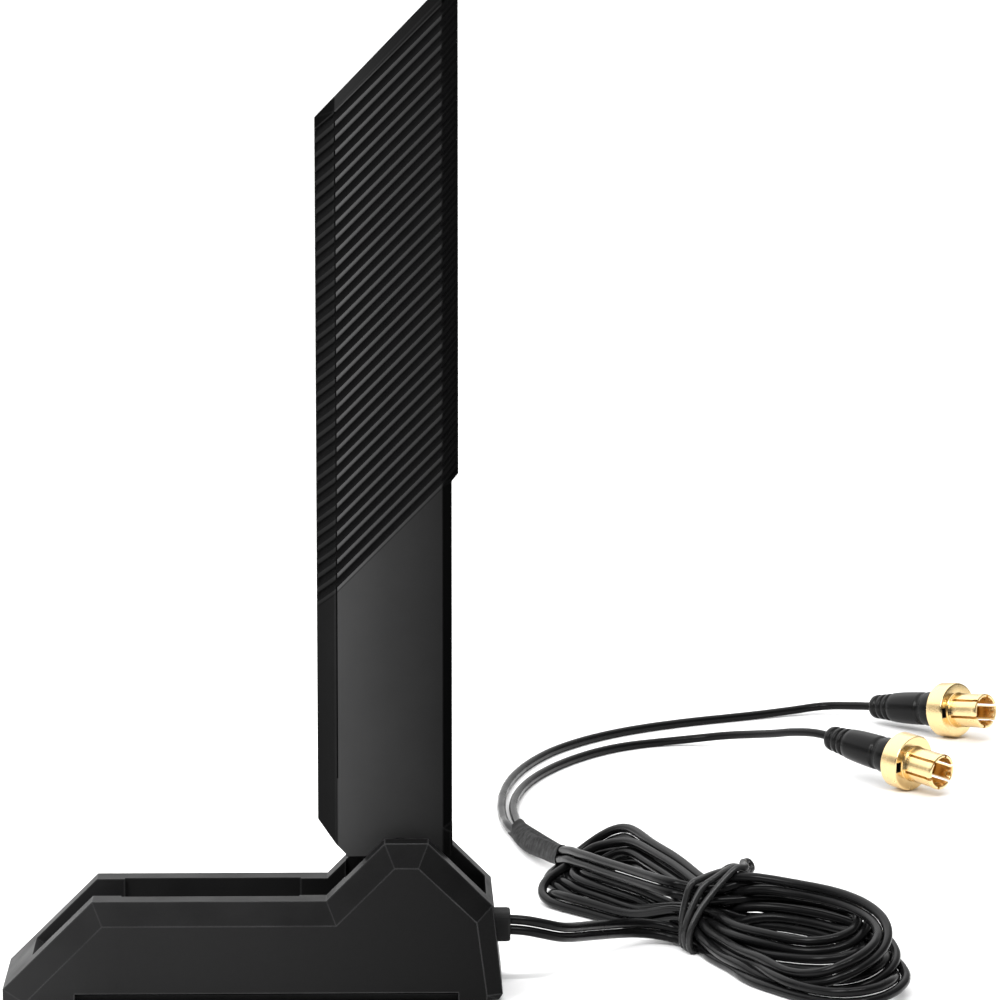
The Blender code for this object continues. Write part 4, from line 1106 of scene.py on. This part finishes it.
front = make_blade_shell("blade_front_shell", "blade_front", -1)
rear = make_blade_shell("blade_rear_shell", "blade_rear", 1)

# ------------------------------------------------------
# CAD nodes that stay: their own finishes
# ------------------------------------------------------
FINISHES = {
    "housing": ("bottom_cover", "coax_clamp", "hinge_knuckle"),
    "rubber": ("base_pad",),
    "steel": (
        "steel_ballast", "cover_screw_1", "cover_screw_2", "cover_screw_3", "cover_screw_4",
        "hinge_pin", "friction_washer_1", "friction_washer_2", "knuckle_screw_1", "knuckle_screw_2",
    ),
    "magnet": ("magnet_1", "magnet_2"),
    "jacket": ("inner_coax_1", "inner_coax_2", "blade_coax_1", "blade_coax_2"),
    "board": ("antenna_board",),
    "copper": ("radiator_1", "radiator_2"),
    "gold": (
        "connector_1_ferrule", "connector_2_ferrule", "connector_1_contact", "connector_2_contact",
    ),
    "ptfe": ("connector_1_insulator", "connector_2_insulator"),
}
for look, names in FINISHES.items():
    for name in names:
        for slot in NODES[name].material_slots:
            slot.material = LOOKS[look]

# ------------------------------------------------------
# Bodies, replaced nodes and slots
# ------------------------------------------------------
PIECES = [
    (housing, "base", ("base_housing",), "housing"),
    (gland, "base", ("cable_gland",), "gland"),
    (cords[1][0], "base", ("coax_tail_1", "cable_hank", "coax_lead_1"), "jacket"),
    (cords[2][0], "base", ("coax_tail_2", "coax_lead_2"), "jacket"),
    (tie, "base", ("hank_tie",), "tie"),
    (sleeve, "base", ("split_sleeve",), "shrink"),
    (boots[1], "base", ("connector_1_boot",), "boot"),
    (boots[2], "base", ("connector_2_boot",), "boot"),
    (shells[1], "base", ("connector_1_body",), "gold"),
    (shells[2], "base", ("connector_2_body",), "gold"),
    (front, "blade", ("blade_front_shell",), "blade"),
    (rear, "blade", ("blade_rear_shell",), "blade"),
]
for piece, body, replaced, slot in PIECES:
    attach(piece, body)
    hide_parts(*replaced)

# ------------------------------------------------------
# Floor, world and lights: a white studio sweep with soft light from above and the left
# ------------------------------------------------------
FLOOR_HALF = 9000.0
# The world's light from behind and from in front, over a span of Y, and the share of it that
# comes from the right, over a span of X
BACK_LIGHT = 1.02
FRONT_LIGHT = 0.10
DEPTH_SPAN = (-0.5, 0.35)
RIGHT_SHARE = 0.3
SIDE_SPAN = (0.1, 0.9)


def make_floor():
    corners = [(x * FLOOR_HALF, y * FLOOR_HALF, 0) for x, y in ((-1, -1), (1, -1), (1, 1), (-1, 1))]
    floor = mesh_piece("floor", corners, [(0, 1, 2, 3)])
    floor.data.materials.append(surface(
        "white_floor", (0.93, 0.93, 0.93), 0.9, specular=0.1, grain=1.0, grain_height=0.001,
        mottle=0.01, mottle_size=80.0,
    ))


def make_world():
    """A pale studio: bright behind and above, dim in front and to the right."""
    world = bpy.data.worlds.new("studio")
    bpy.context.scene.world = world
    world.use_nodes = True
    nodes, links = world.node_tree.nodes, world.node_tree.links
    x, y, _ = axes_of(nodes, links, nodes.new("ShaderNodeTexCoord").outputs["Generated"])
    depth = mapped(nodes, links, y, *DEPTH_SPAN, FRONT_LIGHT, BACK_LIGHT, smooth=True)
    side = mapped(nodes, links, x, *SIDE_SPAN, 1.0, RIGHT_SHARE, smooth=True)
    background = nodes["Background"]
    background.inputs["Color"].default_value = (1.0, 1.0, 1.0, 1.0)
    links.new(worked_out(nodes, links, "MULTIPLY", depth, side), background.inputs["Strength"])


def new_light(name, kind, power, heading):
    """A light of a kind, shining along a heading."""
    light = bpy.data.objects.new(name, bpy.data.lights.new(name, kind))
    light.data.energy = power
    light.rotation_euler = Vector(heading).to_track_quat("-Z", "Y").to_euler()
    bpy.context.scene.collection.objects.link(light)
    return light


def area_light(name, location, target, size, power):
    """A rectangle of light that faces its target, with all its sizes in mm."""
    light = new_light(name, "AREA", power, Vector(target) - Vector(location))
    light.location = Vector(location) * MM
    light.data.shape = "RECTANGLE"
    light.data.size, light.data.size_y = size[0] * MM, size[1] * MM


def soft_sun(name, comes_from, width, strength):
    """Even light over the whole floor, from a wide patch of sky width degrees across."""
    light = new_light(name, "SUN", strength, -Vector(comes_from))
    light.data.angle = math.radians(width)


make_floor()
make_world()
soft_sun("overhead", (-0.3, 0.1, 1.0), width=110.0, strength=2.5)
area_light("key", (-330, -330, 560), target=(25, 0, 80), size=(260, 420), power=3.9)
area_light("strip", (150, -380, 620), target=(95, 30, 0), size=(420, 34), power=2.6)
bpy.context.scene.view_settings.view_transform = "Standard"
